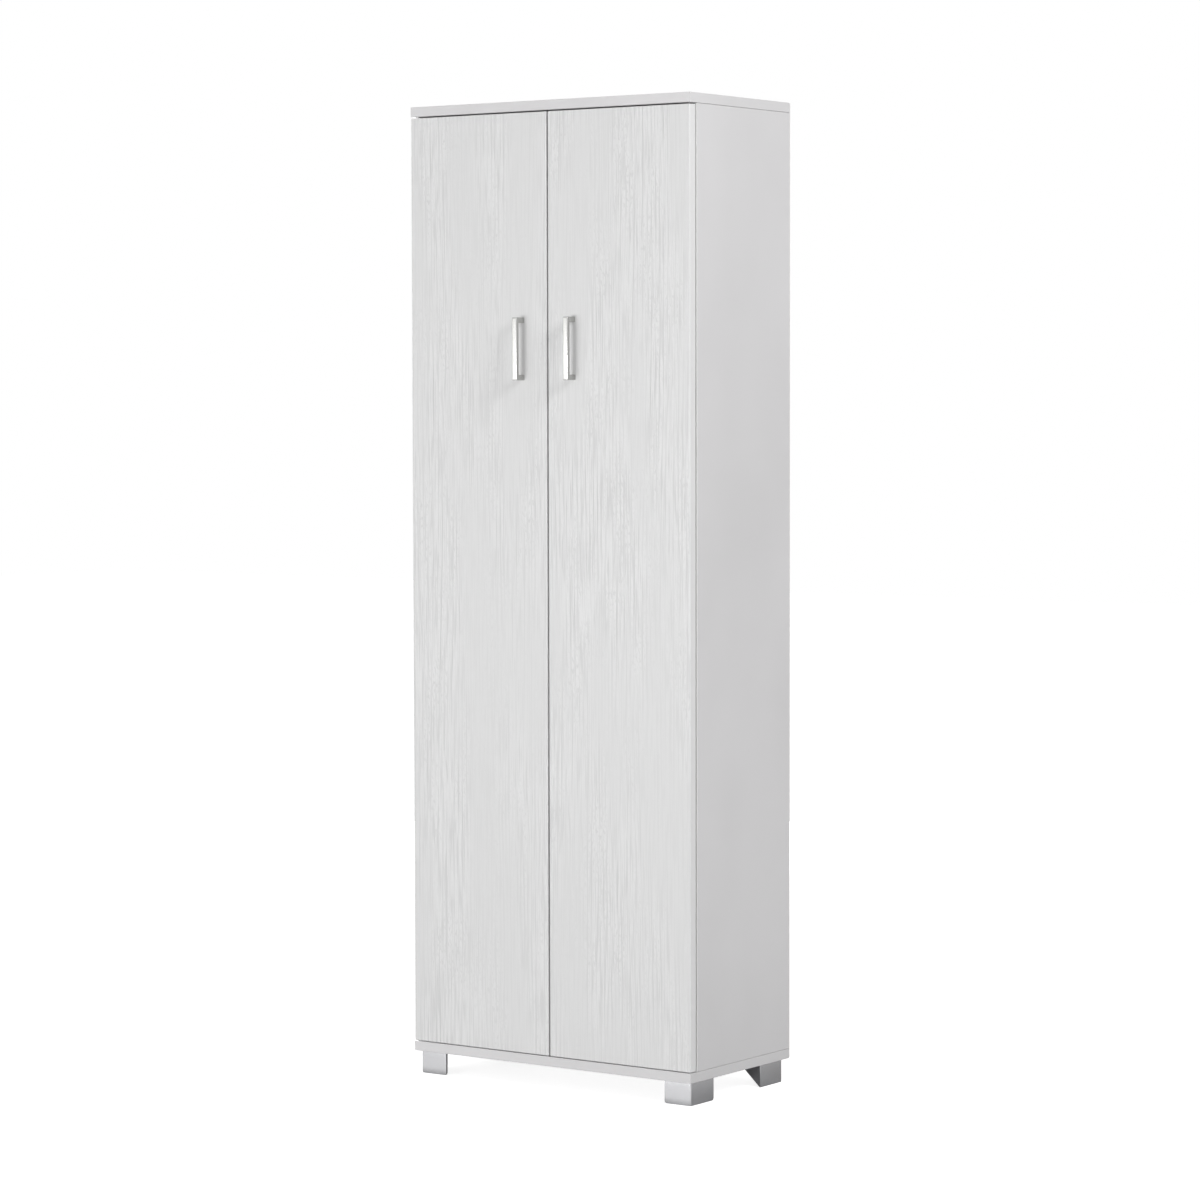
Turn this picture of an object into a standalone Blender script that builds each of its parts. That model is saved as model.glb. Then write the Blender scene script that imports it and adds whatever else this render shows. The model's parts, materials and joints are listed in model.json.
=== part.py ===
"""Tall two-door storage cupboard on four corner feet, as a flat-pack assembly.

Units are metres, +Z is up and the doors face -Y. The origin is on the floor, under the
centre of the whole outline, handles included. Run it with Blender 4.5.
"""

import math

import bmesh
import bpy
from mathutils import Matrix, Vector

# Carcass
CABINET_WIDTH = 0.624
CABINET_HEIGHT = 1.800
CABINET_DEPTH = 0.328  # front faces of the doors to the rear face of the back panel
PANEL_THICKNESS = 0.018  # top, bottom and sides
SHELF_THICKNESS = 0.018
BACK_THICKNESS = 0.003
BACK_INSET = 0.001  # back panel's edge to the outside of the carcass
BOARD_EDGE_ROUND = 0.0008
BACK_EDGE_ROUND = 0.0003
SEAT_GAP = 0.0003  # left between pieces that rest on each other
CUT_OVERRUN = 0.002  # how far a cut runs past the face that it opens

# Shelves
SHELF_COUNT = 4
FIXED_SHELF_INDEX = 1  # counted from the lowest, which is 0
SHELF_SETBACK = 0.025  # adjustable shelf's front edge behind the carcass's front edge
SHELF_SIDE_CLEARANCE = 0.001
SHELF_BACK_CLEARANCE = 0.002
PIN_RADIUS = 0.0025
PIN_STUB_RADIUS = 0.0032  # the thicker end that the shelf lies on
PIN_DEPTH = 0.009
PIN_REACH = 0.008
PIN_SETBACK = 0.040  # pin's centre to the nearer edge of its shelf
PIN_PITCH = 0.032
SPARE_HOLES = 1  # above and below each pin in use

# Doors
DOOR_THICKNESS = 0.018
DOOR_TOP_GAP = 0.0027
DOOR_BOTTOM_GAP = 0.0016
DOOR_SIDE_INSET = 0.001
DOOR_CENTRE_GAP = 0.0036
DOOR_EDGE_ROUND = 0.001
SWING_CLEARANCE = 0.0003  # door's back corner to the carcass as it swings by
BUMPER_RADIUS = 0.004
BUMPER_FROM_CENTRE = 0.045

# Cup hinges. The pin stands upright inside the cup, at half the door's thickness.
PIN_FROM_DOOR_EDGE = 0.0075
PIN_DEPTH_SHARE = 0.5
CUP_RADIUS = 0.0175
CUP_WALL = 0.001
CUP_DEPTH = 0.013
CUP_FROM_DOOR_EDGE = 0.003
CUP_LIP = 0.0006
FLANGE_THICKNESS = 0.0012
WING_LENGTH = 0.062
WING_WIDTH = 0.014
WING_OFFSET = 0.006  # wing's centre line beyond the cup's centre
WING_SCREW_SPACING = 0.048
HINGE_PIN_RADIUS = 0.0012
HINGE_PIN_LENGTH = 0.016
NECK_THICKNESS = 0.003
NECK_WIDTH = 0.008
KNUCKLE_RADIUS = 0.0024
NECK_REACH = 0.0185  # pin to the outer face of the arm
ARM_WIDTH = 0.013
ARM_START = 0.014  # behind the pin
ARM_END = 0.068
PLATE_THICKNESS = 0.0025
PLATE_LENGTH = 0.046
PLATE_WIDTH = 0.014
PLATE_SPINE_LENGTH = 0.042
PLATE_SPINE_WIDTH = 0.018
PLATE_HOLE_SETBACK = 0.037  # carcass's front edge to the plate's screws
PLATE_SCREW_SPACING = 0.032
ARM_SCREW_SETBACK = 0.008  # arm's rear end to its clamping screw
END_HINGE_HEIGHT = 0.1025  # inside face of top or bottom to the outermost hinge

# Handles
HANDLE_LENGTH = 0.114
HANDLE_WIDTH = 0.0104
HANDLE_PROJECTION = 0.024
HANDLE_BAR_THICKNESS = 0.007
HANDLE_POST_HEIGHT = 0.010
HANDLE_EDGE_ROUND = 0.0008
HANDLE_FROM_CENTRE = 0.057
HANDLE_HEIGHT = 1.352
HANDLE_SCREW_RADIUS = 0.002
HANDLE_SCREW_BITE = 0.010  # length of screw inside the handle's post
HANDLE_HEAD_RADIUS = 0.004
HANDLE_HEAD_FLAT_SHARE = 0.5  # flat top of the screw's head, as a share of its radius
HANDLE_HEAD_HEIGHT = 0.0018

# Feet
FOOT_HEIGHT = 0.043
FOOT_WIDTH = 0.057
FOOT_DEPTH = 0.073
FOOT_WALL = 0.004
FOOT_TOP_THICKNESS = 0.0035
FOOT_SIDE_INSET = 0.008
FOOT_FRONT_INSET = 0.012
FOOT_EDGE_ROUND = 0.0012
END_WALL_REACH = 0.045  # sloping end wall of a rear foot, at its top
FOOT_SCREW_INSET = 0.014  # from the inner faces of the foot's two walls
FOOT_SCREW_SPACING = 0.030

# Holes for the wood screws of hinges, feet and bracket
SCREW_HOLE_RADIUS = 0.002

# Nail holes of the back panel
NAIL_HOLE_RADIUS = 0.0022
NAIL_PITCH = 0.290
NAIL_END_DISTANCE = 0.060

# Wall bracket
BRACKET_LEG = 0.028
BRACKET_WIDTH = 0.020
BRACKET_THICKNESS = 0.002
WALL_HOLE_RADIUS = 0.0028

# Numbers of sides of the round pieces
CUP_SIDES = 20
ROD_SIDES = 10
SMALL_SIDES = 6

MERGE_DISTANCE = 0.00001

COLLECTION_NAME = "storage_cupboard"

# name: (colour, roughness, metallic)
MATERIALS = {
    "white_grained_foil": ((0.79, 0.79, 0.80), 0.42, 0.0),
    "white_melamine": ((0.76, 0.76, 0.77), 0.36, 0.0),
    "hardboard": ((0.42, 0.30, 0.20), 0.75, 0.0),
    "satin_metal": ((0.72, 0.72, 0.73), 0.28, 1.0),
    "silver_plastic": ((0.45, 0.45, 0.46), 0.40, 0.2),
    "nickelled_steel": ((0.62, 0.61, 0.58), 0.30, 1.0),
    "clear_rubber": ((0.70, 0.70, 0.68), 0.50, 0.0),
}

# Levels and planes worked out from the sizes
outline_depth = CABINET_DEPTH + HANDLE_PROJECTION
rear_y = outline_depth / 2
front_y = rear_y - CABINET_DEPTH
half_width = CABINET_WIDTH / 2
inner_half = half_width - PANEL_THICKNESS
floor_z = FOOT_HEIGHT + PANEL_THICKNESS
ceiling_z = CABINET_HEIGHT - PANEL_THICKNESS
pin_y = front_y + DOOR_THICKNESS * PIN_DEPTH_SHARE
door_back_y = front_y + DOOR_THICKNESS
pin_to_back = door_back_y - pin_y
swing_radius = math.hypot(PIN_FROM_DOOR_EDGE, pin_to_back)
carcass_front_y = pin_y + swing_radius + SWING_CLEARANCE
carcass_rear_y = rear_y - BACK_THICKNESS - SEAT_GAP
door_edge_x = half_width - DOOR_SIDE_INSET
pin_x = door_edge_x - PIN_FROM_DOOR_EDGE
cup_from_pin = CUP_FROM_DOOR_EDGE + CUP_RADIUS - PIN_FROM_DOOR_EDGE
face_from_pin = pin_x - inner_half  # inside face of the side panel
arm_base = face_from_pin + PLATE_THICKNESS + 2 * SEAT_GAP
door_low_z = floor_z + DOOR_BOTTOM_GAP
door_high_z = ceiling_z - DOOR_TOP_GAP
clear_height = ceiling_z - floor_z
compartment = (clear_height - SHELF_COUNT * SHELF_THICKNESS) / (SHELF_COUNT + 1)
shelf_lows = [
    floor_z + (i + 1) * compartment + i * SHELF_THICKNESS for i in range(SHELF_COUNT)
]
panel_mid_x = half_width - PANEL_THICKNESS / 2

collection = None
cutter_collection = None
materials = {}
drillings = {}


def clear_scene():
    for obj in list(bpy.data.objects):
        bpy.data.objects.remove(obj, do_unlink=True)


def make_collection(name):
    made = bpy.data.collections.new(name)
    bpy.context.scene.collection.children.link(made)
    return made


def make_materials():
    for name, (colour, roughness, metallic) in MATERIALS.items():
        material = bpy.data.materials.new(name)
        material.use_nodes = True
        shader = material.node_tree.nodes["Principled BSDF"]
        shader.inputs["Base Color"].default_value = (*colour, 1)
        shader.inputs["Roughness"].default_value = roughness
        shader.inputs["Metallic"].default_value = metallic
        material.diffuse_color = (*colour, 1)
        materials[name] = material


def link_object(name, mesh, material=None, cutter=False):
    """Puts a mesh into the scene as a named part, or as a cutter."""
    obj = bpy.data.objects.new(name, mesh)
    if cutter:
        cutter_collection.objects.link(obj)
        obj.hide_render = True
        obj.display_type = "WIRE"
    else:
        collection.objects.link(obj)
        if not mesh.materials:
            mesh.materials.append(materials[material])
    return obj


def mesh_from(bm, name):
    mesh = bpy.data.meshes.new(name)
    bm.to_mesh(mesh)
    bm.free()
    return mesh


def add_box(bm, low, high):
    """Adds a box between two corners, given in any order."""
    a, b = Vector(low), Vector(high)
    size = Vector(abs(b[i] - a[i]) for i in range(3))
    place = Matrix.Translation((a + b) / 2) @ Matrix.Diagonal((*size, 1))
    bmesh.ops.create_cube(bm, size=1, matrix=place)


def add_rod(bm, start, end, radius, sides):
    """Adds a closed cylinder from start to end."""
    a, b = Vector(start), Vector(end)
    along = b - a
    turn = along.to_track_quat("Z", "Y").to_matrix().to_4x4()
    bmesh.ops.create_cone(
        bm,
        cap_ends=True,
        segments=sides,
        radius1=radius,
        radius2=radius,
        depth=along.length,
        matrix=Matrix.Translation((a + b) / 2) @ turn,
    )


def hole_radius(radius, sides):
    """The radius of a faceted hole whose flats clear a rod of the given radius."""
    return (radius + SEAT_GAP) / math.cos(math.pi / sides)


def evaluated_mesh(obj):
    graph = bpy.context.evaluated_depsgraph_get()
    return bpy.data.meshes.new_from_object(obj.evaluated_get(graph))


def add_bevel(obj, width, segments=1):
    bevel = obj.modifiers.new("rounded edges", "BEVEL")
    bevel.width = width
    bevel.segments = segments
    bevel.limit_method = "ANGLE"
    bevel.harden_normals = False
    return obj


def add_boolean(obj, cutter, operation="DIFFERENCE"):
    boolean = obj.modifiers.new(operation.lower(), "BOOLEAN")
    boolean.operation = operation
    boolean.solver = "EXACT"
    boolean.object = cutter
    return obj


def close_mesh(mesh, matrix=None):
    """Welds a mesh's loose points, turns its faces outward and places it."""
    bm = bmesh.new()
    bm.from_mesh(mesh)
    bmesh.ops.remove_doubles(bm, verts=bm.verts, dist=MERGE_DISTANCE)
    bmesh.ops.recalc_face_normals(bm, faces=bm.faces)
    if matrix is not None:
        bmesh.ops.transform(bm, matrix=matrix, verts=bm.verts)
    bm.to_mesh(mesh)
    bm.free()
    return mesh


def turned_mesh(name, profile, sides):
    """Turns a profile of (radius, height) points, from the top down, about +Z."""
    mesh = bpy.data.meshes.new(name)
    points = [(radius, 0, height) for radius, height in profile]
    mesh.from_pydata(points, [(i, i + 1) for i in range(len(points) - 1)], [])
    temp = link_object(name + "_profile", mesh, cutter=True)
    screw = temp.modifiers.new("turn", "SCREW")
    screw.steps = sides
    screw.render_steps = sides
    screw.use_merge_vertices = True
    screw.merge_threshold = MERGE_DISTANCE
    made = evaluated_mesh(temp)
    made.name = name
    bpy.data.objects.remove(temp)
    return close_mesh(made)


def outline_mesh(name, points, thickness, matrix):
    """A flat outline in the XY plane, given a thickness and then placed."""
    curve = bpy.data.curves.new(name, "CURVE")
    curve.dimensions = "2D"
    curve.fill_mode = "BOTH"
    curve.extrude = thickness / 2
    spline = curve.splines.new("POLY")
    spline.points.add(len(points) - 1)
    for target, (x, y) in zip(spline.points, points):
        target.co = (x, y, 0, 1)
    spline.use_cyclic_u = True
    temp = bpy.data.objects.new(name + "_outline", curve)
    cutter_collection.objects.link(temp)
    mesh = evaluated_mesh(temp)
    bpy.data.objects.remove(temp)
    return close_mesh(mesh, matrix)


def board(name, low, high, material, edge_round=BOARD_EDGE_ROUND):
    """A rectangular board with softened edges."""
    bm = bmesh.new()
    add_box(bm, low, high)
    obj = link_object(name, mesh_from(bm, name), material)
    return add_bevel(obj, edge_round)


def drill(board_name, start, end, radius, sides=SMALL_SIDES, layer="bores"):
    """Notes a hole to be cut from start to end. Holes that meet go in unlike layers."""
    layers = drillings.setdefault(board_name, {})
    bm = layers.get(layer)
    if bm is None:
        bm = layers[layer] = bmesh.new()
    add_rod(bm, start, end, radius, sides)


def cut_drillings():
    for board_name, layers in drillings.items():
        target = bpy.data.objects[board_name]
        for layer, bm in layers.items():
            name = f"{board_name}_{layer}"
            cutter = link_object(name, mesh_from(bm, name), cutter=True)
            add_boolean(target, cutter)


def place_piece(name, mesh, place, material):
    """Another copy of a repeated piece, put where its matrix says."""
    piece = link_object(name, mesh, material)
    piece.matrix_world = place
    return piece


def pointing(position, direction):
    """A matrix that puts local +Z along direction, with its origin at position."""
    turn = Vector(direction).to_track_quat("Z", "Y").to_matrix().to_4x4()
    return Matrix.Translation(position) @ turn


def make_carcass():
    board(
        "top_panel",
        (-half_width, front_y, ceiling_z),
        (half_width, carcass_rear_y, CABINET_HEIGHT),
        "white_melamine",
    )
    board(
        "bottom_panel",
        (-half_width, front_y, FOOT_HEIGHT),
        (half_width, carcass_rear_y, floor_z),
        "white_melamine",
    )
    for side, sign in (("left", -1), ("right", 1)):
        board(
            f"{side}_side_panel",
            (sign * inner_half, carcass_front_y, floor_z + SEAT_GAP),
            (sign * half_width, carcass_rear_y, ceiling_z - SEAT_GAP),
            "white_melamine",
        )
    board(
        "back_panel",
        (-half_width + BACK_INSET, rear_y - BACK_THICKNESS, FOOT_HEIGHT + BACK_INSET),
        (half_width - BACK_INSET, rear_y, CABINET_HEIGHT - BACK_INSET),
        "hardboard",
        edge_round=BACK_EDGE_ROUND,
    )


def make_shelves():
    number = 0
    for i, low_z in enumerate(shelf_lows):
        if i == FIXED_SHELF_INDEX:
            board(
                "fixed_shelf",
                (-inner_half + SEAT_GAP, carcass_front_y, low_z),
                (inner_half - SEAT_GAP, carcass_rear_y, low_z + SHELF_THICKNESS),
                "white_melamine",
            )
            continue
        number += 1
        reach = inner_half - SHELF_SIDE_CLEARANCE
        board(
            f"adjustable_shelf_{number}",
            (-reach, carcass_front_y + SHELF_SETBACK, low_z),
            (reach, carcass_rear_y - SHELF_BACK_CLEARANCE, low_z + SHELF_THICKNESS),
            "white_melamine",
        )


def make_shelf_pins():
    profile = [
        (0, PIN_REACH),
        (PIN_STUB_RADIUS, PIN_REACH),
        (PIN_STUB_RADIUS, SEAT_GAP),
        (PIN_RADIUS, SEAT_GAP),
        (PIN_RADIUS, -PIN_DEPTH),
        (0, -PIN_DEPTH),
    ]
    mesh = turned_mesh("shelf_pin", profile, SMALL_SIDES)
    first_y = carcass_front_y + SHELF_SETBACK + PIN_SETBACK
    last_y = carcass_rear_y - SHELF_BACK_CLEARANCE - PIN_SETBACK
    number = 0
    for i, low_z in enumerate(shelf_lows):
        if i == FIXED_SHELF_INDEX:
            continue
        number += 1
        pin_z = low_z - SEAT_GAP - PIN_STUB_RADIUS
        for side, sign in (("left", -1), ("right", 1)):
            for row, y in (("front", first_y), ("rear", last_y)):
                place_piece(
                    f"shelf_{number}_pin_{row}_{side}",
                    mesh,
                    pointing((sign * inner_half, y, pin_z), (-sign, 0, 0)),
                    "nickelled_steel",
                )
                for step in range(-SPARE_HOLES, SPARE_HOLES + 1):
                    z = pin_z + step * PIN_PITCH
                    drill(
                        f"{side}_side_panel",
                        (sign * (inner_half - CUT_OVERRUN), y, z),
                        (sign * (inner_half + PIN_DEPTH + SEAT_GAP), y, z),
                        hole_radius(PIN_RADIUS, SMALL_SIDES),
                        SMALL_SIDES,
                    )


def hinge_heights():
    """Outer hinges at an end distance, the middle one half way up a compartment."""
    middle = SHELF_COUNT // 2
    below = shelf_lows[middle - 1] + SHELF_THICKNESS
    return [
        floor_z + END_HINGE_HEIGHT,
        (below + shelf_lows[middle]) / 2,
        ceiling_z - END_HINGE_HEIGHT,
    ]


def hinge_cup_mesh():
    """Local axes: the pin stands on the origin, +X inward, +Y to the rear, +Z up."""
    cup_x = cup_from_pin
    seat_y = pin_to_back + SEAT_GAP
    top = seat_y + FLANGE_THICKNESS
    floor = pin_to_back - CUP_DEPTH
    inner = CUP_RADIUS - CUP_WALL
    profile = [
        (inner, top),
        (CUP_RADIUS + CUP_LIP, top),
        (CUP_RADIUS + CUP_LIP, seat_y),
        (CUP_RADIUS, seat_y),
        (CUP_RADIUS, floor),
        (0, floor),
        (0, floor + CUP_WALL),
        (inner, floor + CUP_WALL),
        (inner, top),
    ]
    shell = turned_mesh("hinge_cup", profile, CUP_SIDES)
    place = pointing((cup_x, 0, 0), (0, 1, 0))
    shell.transform(place)
    cup = link_object("hinge_cup", shell, "nickelled_steel")
    bm = bmesh.new()
    wing_x = cup_x + WING_OFFSET
    add_box(
        bm,
        (wing_x - WING_WIDTH / 2, seat_y, -WING_LENGTH / 2),
        (wing_x + WING_WIDTH / 2, top, WING_LENGTH / 2),
    )
    wings = link_object("wings", mesh_from(bm, "wings"), "nickelled_steel")
    bm = bmesh.new()
    add_rod(
        bm,
        (cup_x, floor + CUP_WALL + SEAT_GAP, 0),
        (cup_x, top + CUT_OVERRUN, 0),
        CUP_RADIUS - CUP_WALL / 2,
        CUP_SIDES,
    )
    mouth = link_object("mouth", mesh_from(bm, "mouth"), cutter=True)
    bm = bmesh.new()
    for sign in (-1, 1):
        z = sign * WING_SCREW_SPACING / 2
        add_rod(
            bm,
            (wing_x, seat_y - CUT_OVERRUN, z),
            (wing_x, top + CUT_OVERRUN, z),
            SCREW_HOLE_RADIUS,
            SMALL_SIDES,
        )
    screw_holes = link_object("screw_holes", mesh_from(bm, "holes"), cutter=True)
    add_boolean(wings, mouth)
    add_boolean(wings, screw_holes)
    add_boolean(cup, wings, "UNION")
    mesh = evaluated_mesh(cup)
    for temp in (cup, wings, mouth, screw_holes):
        bpy.data.objects.remove(temp)
    return mesh


def hinge_arm_mesh():
    """A neck that hooks round the pin and an arm that runs back over the plate."""
    half = NECK_THICKNESS / 2
    inner_x = NECK_REACH - NECK_THICKNESS
    neck_end = ARM_START + NECK_THICKNESS
    outline = [
        (0, half),
        (0, -half),
        (NECK_REACH - half, -half),
        (NECK_REACH, half),
        (NECK_REACH, neck_end),
        (inner_x, neck_end),
        (inner_x, half),
    ]
    neck_mesh = outline_mesh("neck", outline, NECK_WIDTH, Matrix.Identity(4))
    arm = link_object("hinge_arm", neck_mesh, "nickelled_steel")
    bm = bmesh.new()
    low, high = (0, 0, -NECK_WIDTH / 2), (0, 0, NECK_WIDTH / 2)
    add_rod(bm, low, high, KNUCKLE_RADIUS, ROD_SIDES)
    knuckle = link_object("knuckle", mesh_from(bm, "knuckle"), cutter=True)
    bm = bmesh.new()
    add_box(
        bm,
        (arm_base, ARM_START, -ARM_WIDTH / 2),
        (NECK_REACH, ARM_END, ARM_WIDTH / 2),
    )
    bar = link_object("bar", mesh_from(bm, "bar"), cutter=True)
    bm = bmesh.new()
    add_rod(
        bm,
        (0, 0, -NECK_WIDTH),
        (0, 0, NECK_WIDTH),
        hole_radius(HINGE_PIN_RADIUS, ROD_SIDES),
        ROD_SIDES,
    )
    pin_hole = link_object("pin_hole", mesh_from(bm, "pin_hole"), cutter=True)
    bm = bmesh.new()
    screw_y = ARM_END - ARM_SCREW_SETBACK
    add_rod(
        bm,
        (arm_base - CUT_OVERRUN, screw_y, 0),
        (NECK_REACH + CUT_OVERRUN, screw_y, 0),
        SCREW_HOLE_RADIUS,
        SMALL_SIDES,
    )
    screw_hole = link_object("screw_hole", mesh_from(bm, "screw_hole"), cutter=True)
    add_boolean(arm, knuckle, "UNION")
    add_boolean(arm, bar, "UNION")
    add_boolean(arm, pin_hole)
    add_boolean(arm, screw_hole)
    mesh = evaluated_mesh(arm)
    for temp in (arm, knuckle, bar, pin_hole, screw_hole):
        bpy.data.objects.remove(temp)
    return mesh


def hinge_plate_mesh():
    """A cross-shaped mounting plate: screwed wings and a spine under the arm."""
    base = face_from_pin + SEAT_GAP
    top = base + PLATE_THICKNESS
    screw_y = carcass_front_y - pin_y + PLATE_HOLE_SETBACK
    bm = bmesh.new()
    add_box(
        bm,
        (base, screw_y - PLATE_WIDTH / 2, -PLATE_LENGTH / 2),
        (top, screw_y + PLATE_WIDTH / 2, PLATE_LENGTH / 2),
    )
    plate = link_object("plate", mesh_from(bm, "plate"), "nickelled_steel")
    bm = bmesh.new()
    add_box(
        bm,
        (base, screw_y - PLATE_SPINE_LENGTH / 2, -PLATE_SPINE_WIDTH / 2),
        (top, screw_y + PLATE_SPINE_LENGTH / 2, PLATE_SPINE_WIDTH / 2),
    )
    spine = link_object("spine", mesh_from(bm, "spine"), cutter=True)
    bm = bmesh.new()
    arm_screw_y = ARM_END - ARM_SCREW_SETBACK
    for y, z in (
        (screw_y, -PLATE_SCREW_SPACING / 2),
        (screw_y, PLATE_SCREW_SPACING / 2),
        (arm_screw_y, 0),
    ):
        add_rod(
            bm,
            (base - CUT_OVERRUN, y, z),
            (top + CUT_OVERRUN, y, z),
            SCREW_HOLE_RADIUS,
            SMALL_SIDES,
        )
    holes = link_object("plate_holes", mesh_from(bm, "plate_holes"), cutter=True)
    add_boolean(plate, spine, "UNION")
    add_boolean(plate, holes)
    mesh = evaluated_mesh(plate)
    for temp in (plate, spine, holes):
        bpy.data.objects.remove(temp)
    return mesh


def make_hinges():
    pin_profile = [
        (0, HINGE_PIN_LENGTH / 2),
        (HINGE_PIN_RADIUS, HINGE_PIN_LENGTH / 2),
        (HINGE_PIN_RADIUS, -HINGE_PIN_LENGTH / 2),
        (0, -HINGE_PIN_LENGTH / 2),
    ]
    kinds = (
        ("cup", hinge_cup_mesh()),
        ("arm", hinge_arm_mesh()),
        ("plate", hinge_plate_mesh()),
        ("pin", turned_mesh("hinge_pin", pin_profile, ROD_SIDES)),
    )
    for side, sign in (("left", -1), ("right", 1)):
        turn = Matrix.Rotation(math.pi if sign > 0 else 0, 4, "Y")
        for level, z in zip(("lower", "middle", "upper"), hinge_heights()):
            place = Matrix.Translation((sign * pin_x, pin_y, z)) @ turn
            for kind, mesh in kinds:
                name = f"{side}_{level}_hinge_{kind}"
                place_piece(name, mesh, place, "nickelled_steel")
            drill(
                f"{side}_door",
                place @ Vector((cup_from_pin, pin_to_back + CUT_OVERRUN, 0)),
                place @ Vector((cup_from_pin, pin_to_back - CUP_DEPTH - SEAT_GAP, 0)),
                hole_radius(CUP_RADIUS, CUP_SIDES),
                CUP_SIDES,
            )


def make_doors():
    for side, sign in (("left", -1), ("right", 1)):
        door = board(
            f"{side}_door",
            (sign * DOOR_CENTRE_GAP / 2, front_y, door_low_z),
            (sign * door_edge_x, door_back_y, door_high_z),
            "white_grained_foil",
            edge_round=DOOR_EDGE_ROUND,
        )
        hinge_line = Vector((sign * pin_x, pin_y, door_low_z))
        door.data.transform(Matrix.Translation(-hinge_line))
        door.location = hinge_line


def make_handles():
    screw_profile = [
        (0, HANDLE_HEAD_HEIGHT),
        (HANDLE_HEAD_RADIUS * HANDLE_HEAD_FLAT_SHARE, HANDLE_HEAD_HEIGHT),
        (HANDLE_HEAD_RADIUS, SEAT_GAP),
        (HANDLE_SCREW_RADIUS, SEAT_GAP),
        (HANDLE_SCREW_RADIUS, -DOOR_THICKNESS - HANDLE_SCREW_BITE),
        (0, -DOOR_THICKNESS - HANDLE_SCREW_BITE),
    ]
    screw = turned_mesh("handle_screw", screw_profile, ROD_SIDES)
    back_y = front_y - SEAT_GAP
    bar_front_y = front_y - HANDLE_PROJECTION
    bar_back_y = bar_front_y + HANDLE_BAR_THICKNESS
    half_length = HANDLE_LENGTH / 2
    for side, sign in (("left", -1), ("right", 1)):
        x = sign * HANDLE_FROM_CENTRE
        half = HANDLE_WIDTH / 2
        handle = board(
            f"{side}_handle",
            (x - half, bar_front_y, HANDLE_HEIGHT - half_length),
            (x + half, back_y, HANDLE_HEIGHT + half_length),
            "satin_metal",
            edge_round=HANDLE_EDGE_ROUND,
        )
        bm = bmesh.new()
        gap_half = half_length - HANDLE_POST_HEIGHT
        add_box(
            bm,
            (x - half - CUT_OVERRUN, bar_back_y, HANDLE_HEIGHT - gap_half),
            (x + half + CUT_OVERRUN, back_y + CUT_OVERRUN, HANDLE_HEIGHT + gap_half),
        )
        name = f"{side}_handle_finger_gap"
        add_boolean(handle, link_object(name, mesh_from(bm, name), cutter=True))
        for level, end in (("lower", -1), ("upper", 1)):
            z = HANDLE_HEIGHT + end * (half_length - HANDLE_POST_HEIGHT / 2)
            place_piece(
                f"{side}_handle_{level}_screw",
                screw,
                pointing((x, door_back_y, z), (0, 1, 0)),
                "nickelled_steel",
            )
            for name in (f"{side}_door", f"{side}_handle"):
                drill(
                    name,
                    (x, door_back_y + CUT_OVERRUN, z),
                    (x, front_y - HANDLE_SCREW_BITE - SEAT_GAP, z),
                    hole_radius(HANDLE_SCREW_RADIUS, ROD_SIDES),
                    ROD_SIDES,
                )


def slope_end_wall(foot, name, sign_x, outer_x, middle_y, roof_z):
    """Cuts the wall at middle_y to a slope, from its foot at the outer side to the roof."""
    past = max(END_WALL_REACH, FOOT_WIDTH) + CUT_OVERRUN
    corners = [
        (FOOT_WALL, -CUT_OVERRUN),
        (FOOT_WALL, 0),
        (END_WALL_REACH, roof_z),
        (past, roof_z),
        (past, -CUT_OVERRUN),
    ]
    outline = [(outer_x - sign_x * inward, z) for inward, z in corners]
    upright = Matrix.Rotation(math.pi / 2, 4, "X")
    place = Matrix.Translation((0, middle_y, 0)) @ upright
    depth = FOOT_WALL + 2 * CUT_OVERRUN
    mesh = outline_mesh(f"{name}_slope", outline, depth, place)
    add_boolean(foot, link_object(f"{name}_slope", mesh, cutter=True))


def make_foot(name, sign_x, sign_y, edge_y, end_wall):
    """A corner foot: a top plate, walls on the two outer sides and maybe an end wall.

    Places inside the foot are measured inward from its outer corner.
    """
    outer_x = sign_x * (half_width - FOOT_SIDE_INSET)
    outer_y = edge_y - sign_y * FOOT_FRONT_INSET
    top_z = FOOT_HEIGHT - SEAT_GAP
    roof_z = top_z - FOOT_TOP_THICKNESS

    def at(inward_x, inward_y, z):
        return (outer_x - sign_x * inward_x, outer_y - sign_y * inward_y, z)

    low, high = at(0, 0, 0), at(FOOT_WIDTH, FOOT_DEPTH, top_z)
    foot = board(name, low, high, "silver_plastic", edge_round=FOOT_EDGE_ROUND)
    hollow_end = FOOT_DEPTH - FOOT_WALL if end_wall else FOOT_DEPTH + CUT_OVERRUN
    bm = bmesh.new()
    add_box(
        bm,
        at(FOOT_WALL, FOOT_WALL, -CUT_OVERRUN),
        at(FOOT_WIDTH + CUT_OVERRUN, hollow_end, roof_z),
    )
    hollow = link_object(f"{name}_hollow", mesh_from(bm, name), cutter=True)
    add_boolean(foot, hollow)
    if end_wall:
        middle_y = outer_y - sign_y * (FOOT_DEPTH - FOOT_WALL / 2)
        slope_end_wall(foot, name, sign_x, outer_x, middle_y, roof_z)
    first = FOOT_WALL + FOOT_SCREW_INSET
    second = first + FOOT_SCREW_SPACING
    for inward_x, inward_y in ((first, first), (second, first), (first, second)):
        drill(
            name,
            at(inward_x, inward_y, roof_z - CUT_OVERRUN),
            at(inward_x, inward_y, top_z + CUT_OVERRUN),
            SCREW_HOLE_RADIUS,
        )


def make_feet():
    for row, sign_y, edge_y in (("front", -1, front_y), ("rear", 1, carcass_rear_y)):
        for side, sign_x in (("left", -1), ("right", 1)):
            end_wall = row == "rear"
            make_foot(f"{row}_{side}_foot", sign_x, sign_y, edge_y, end_wall)


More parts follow.
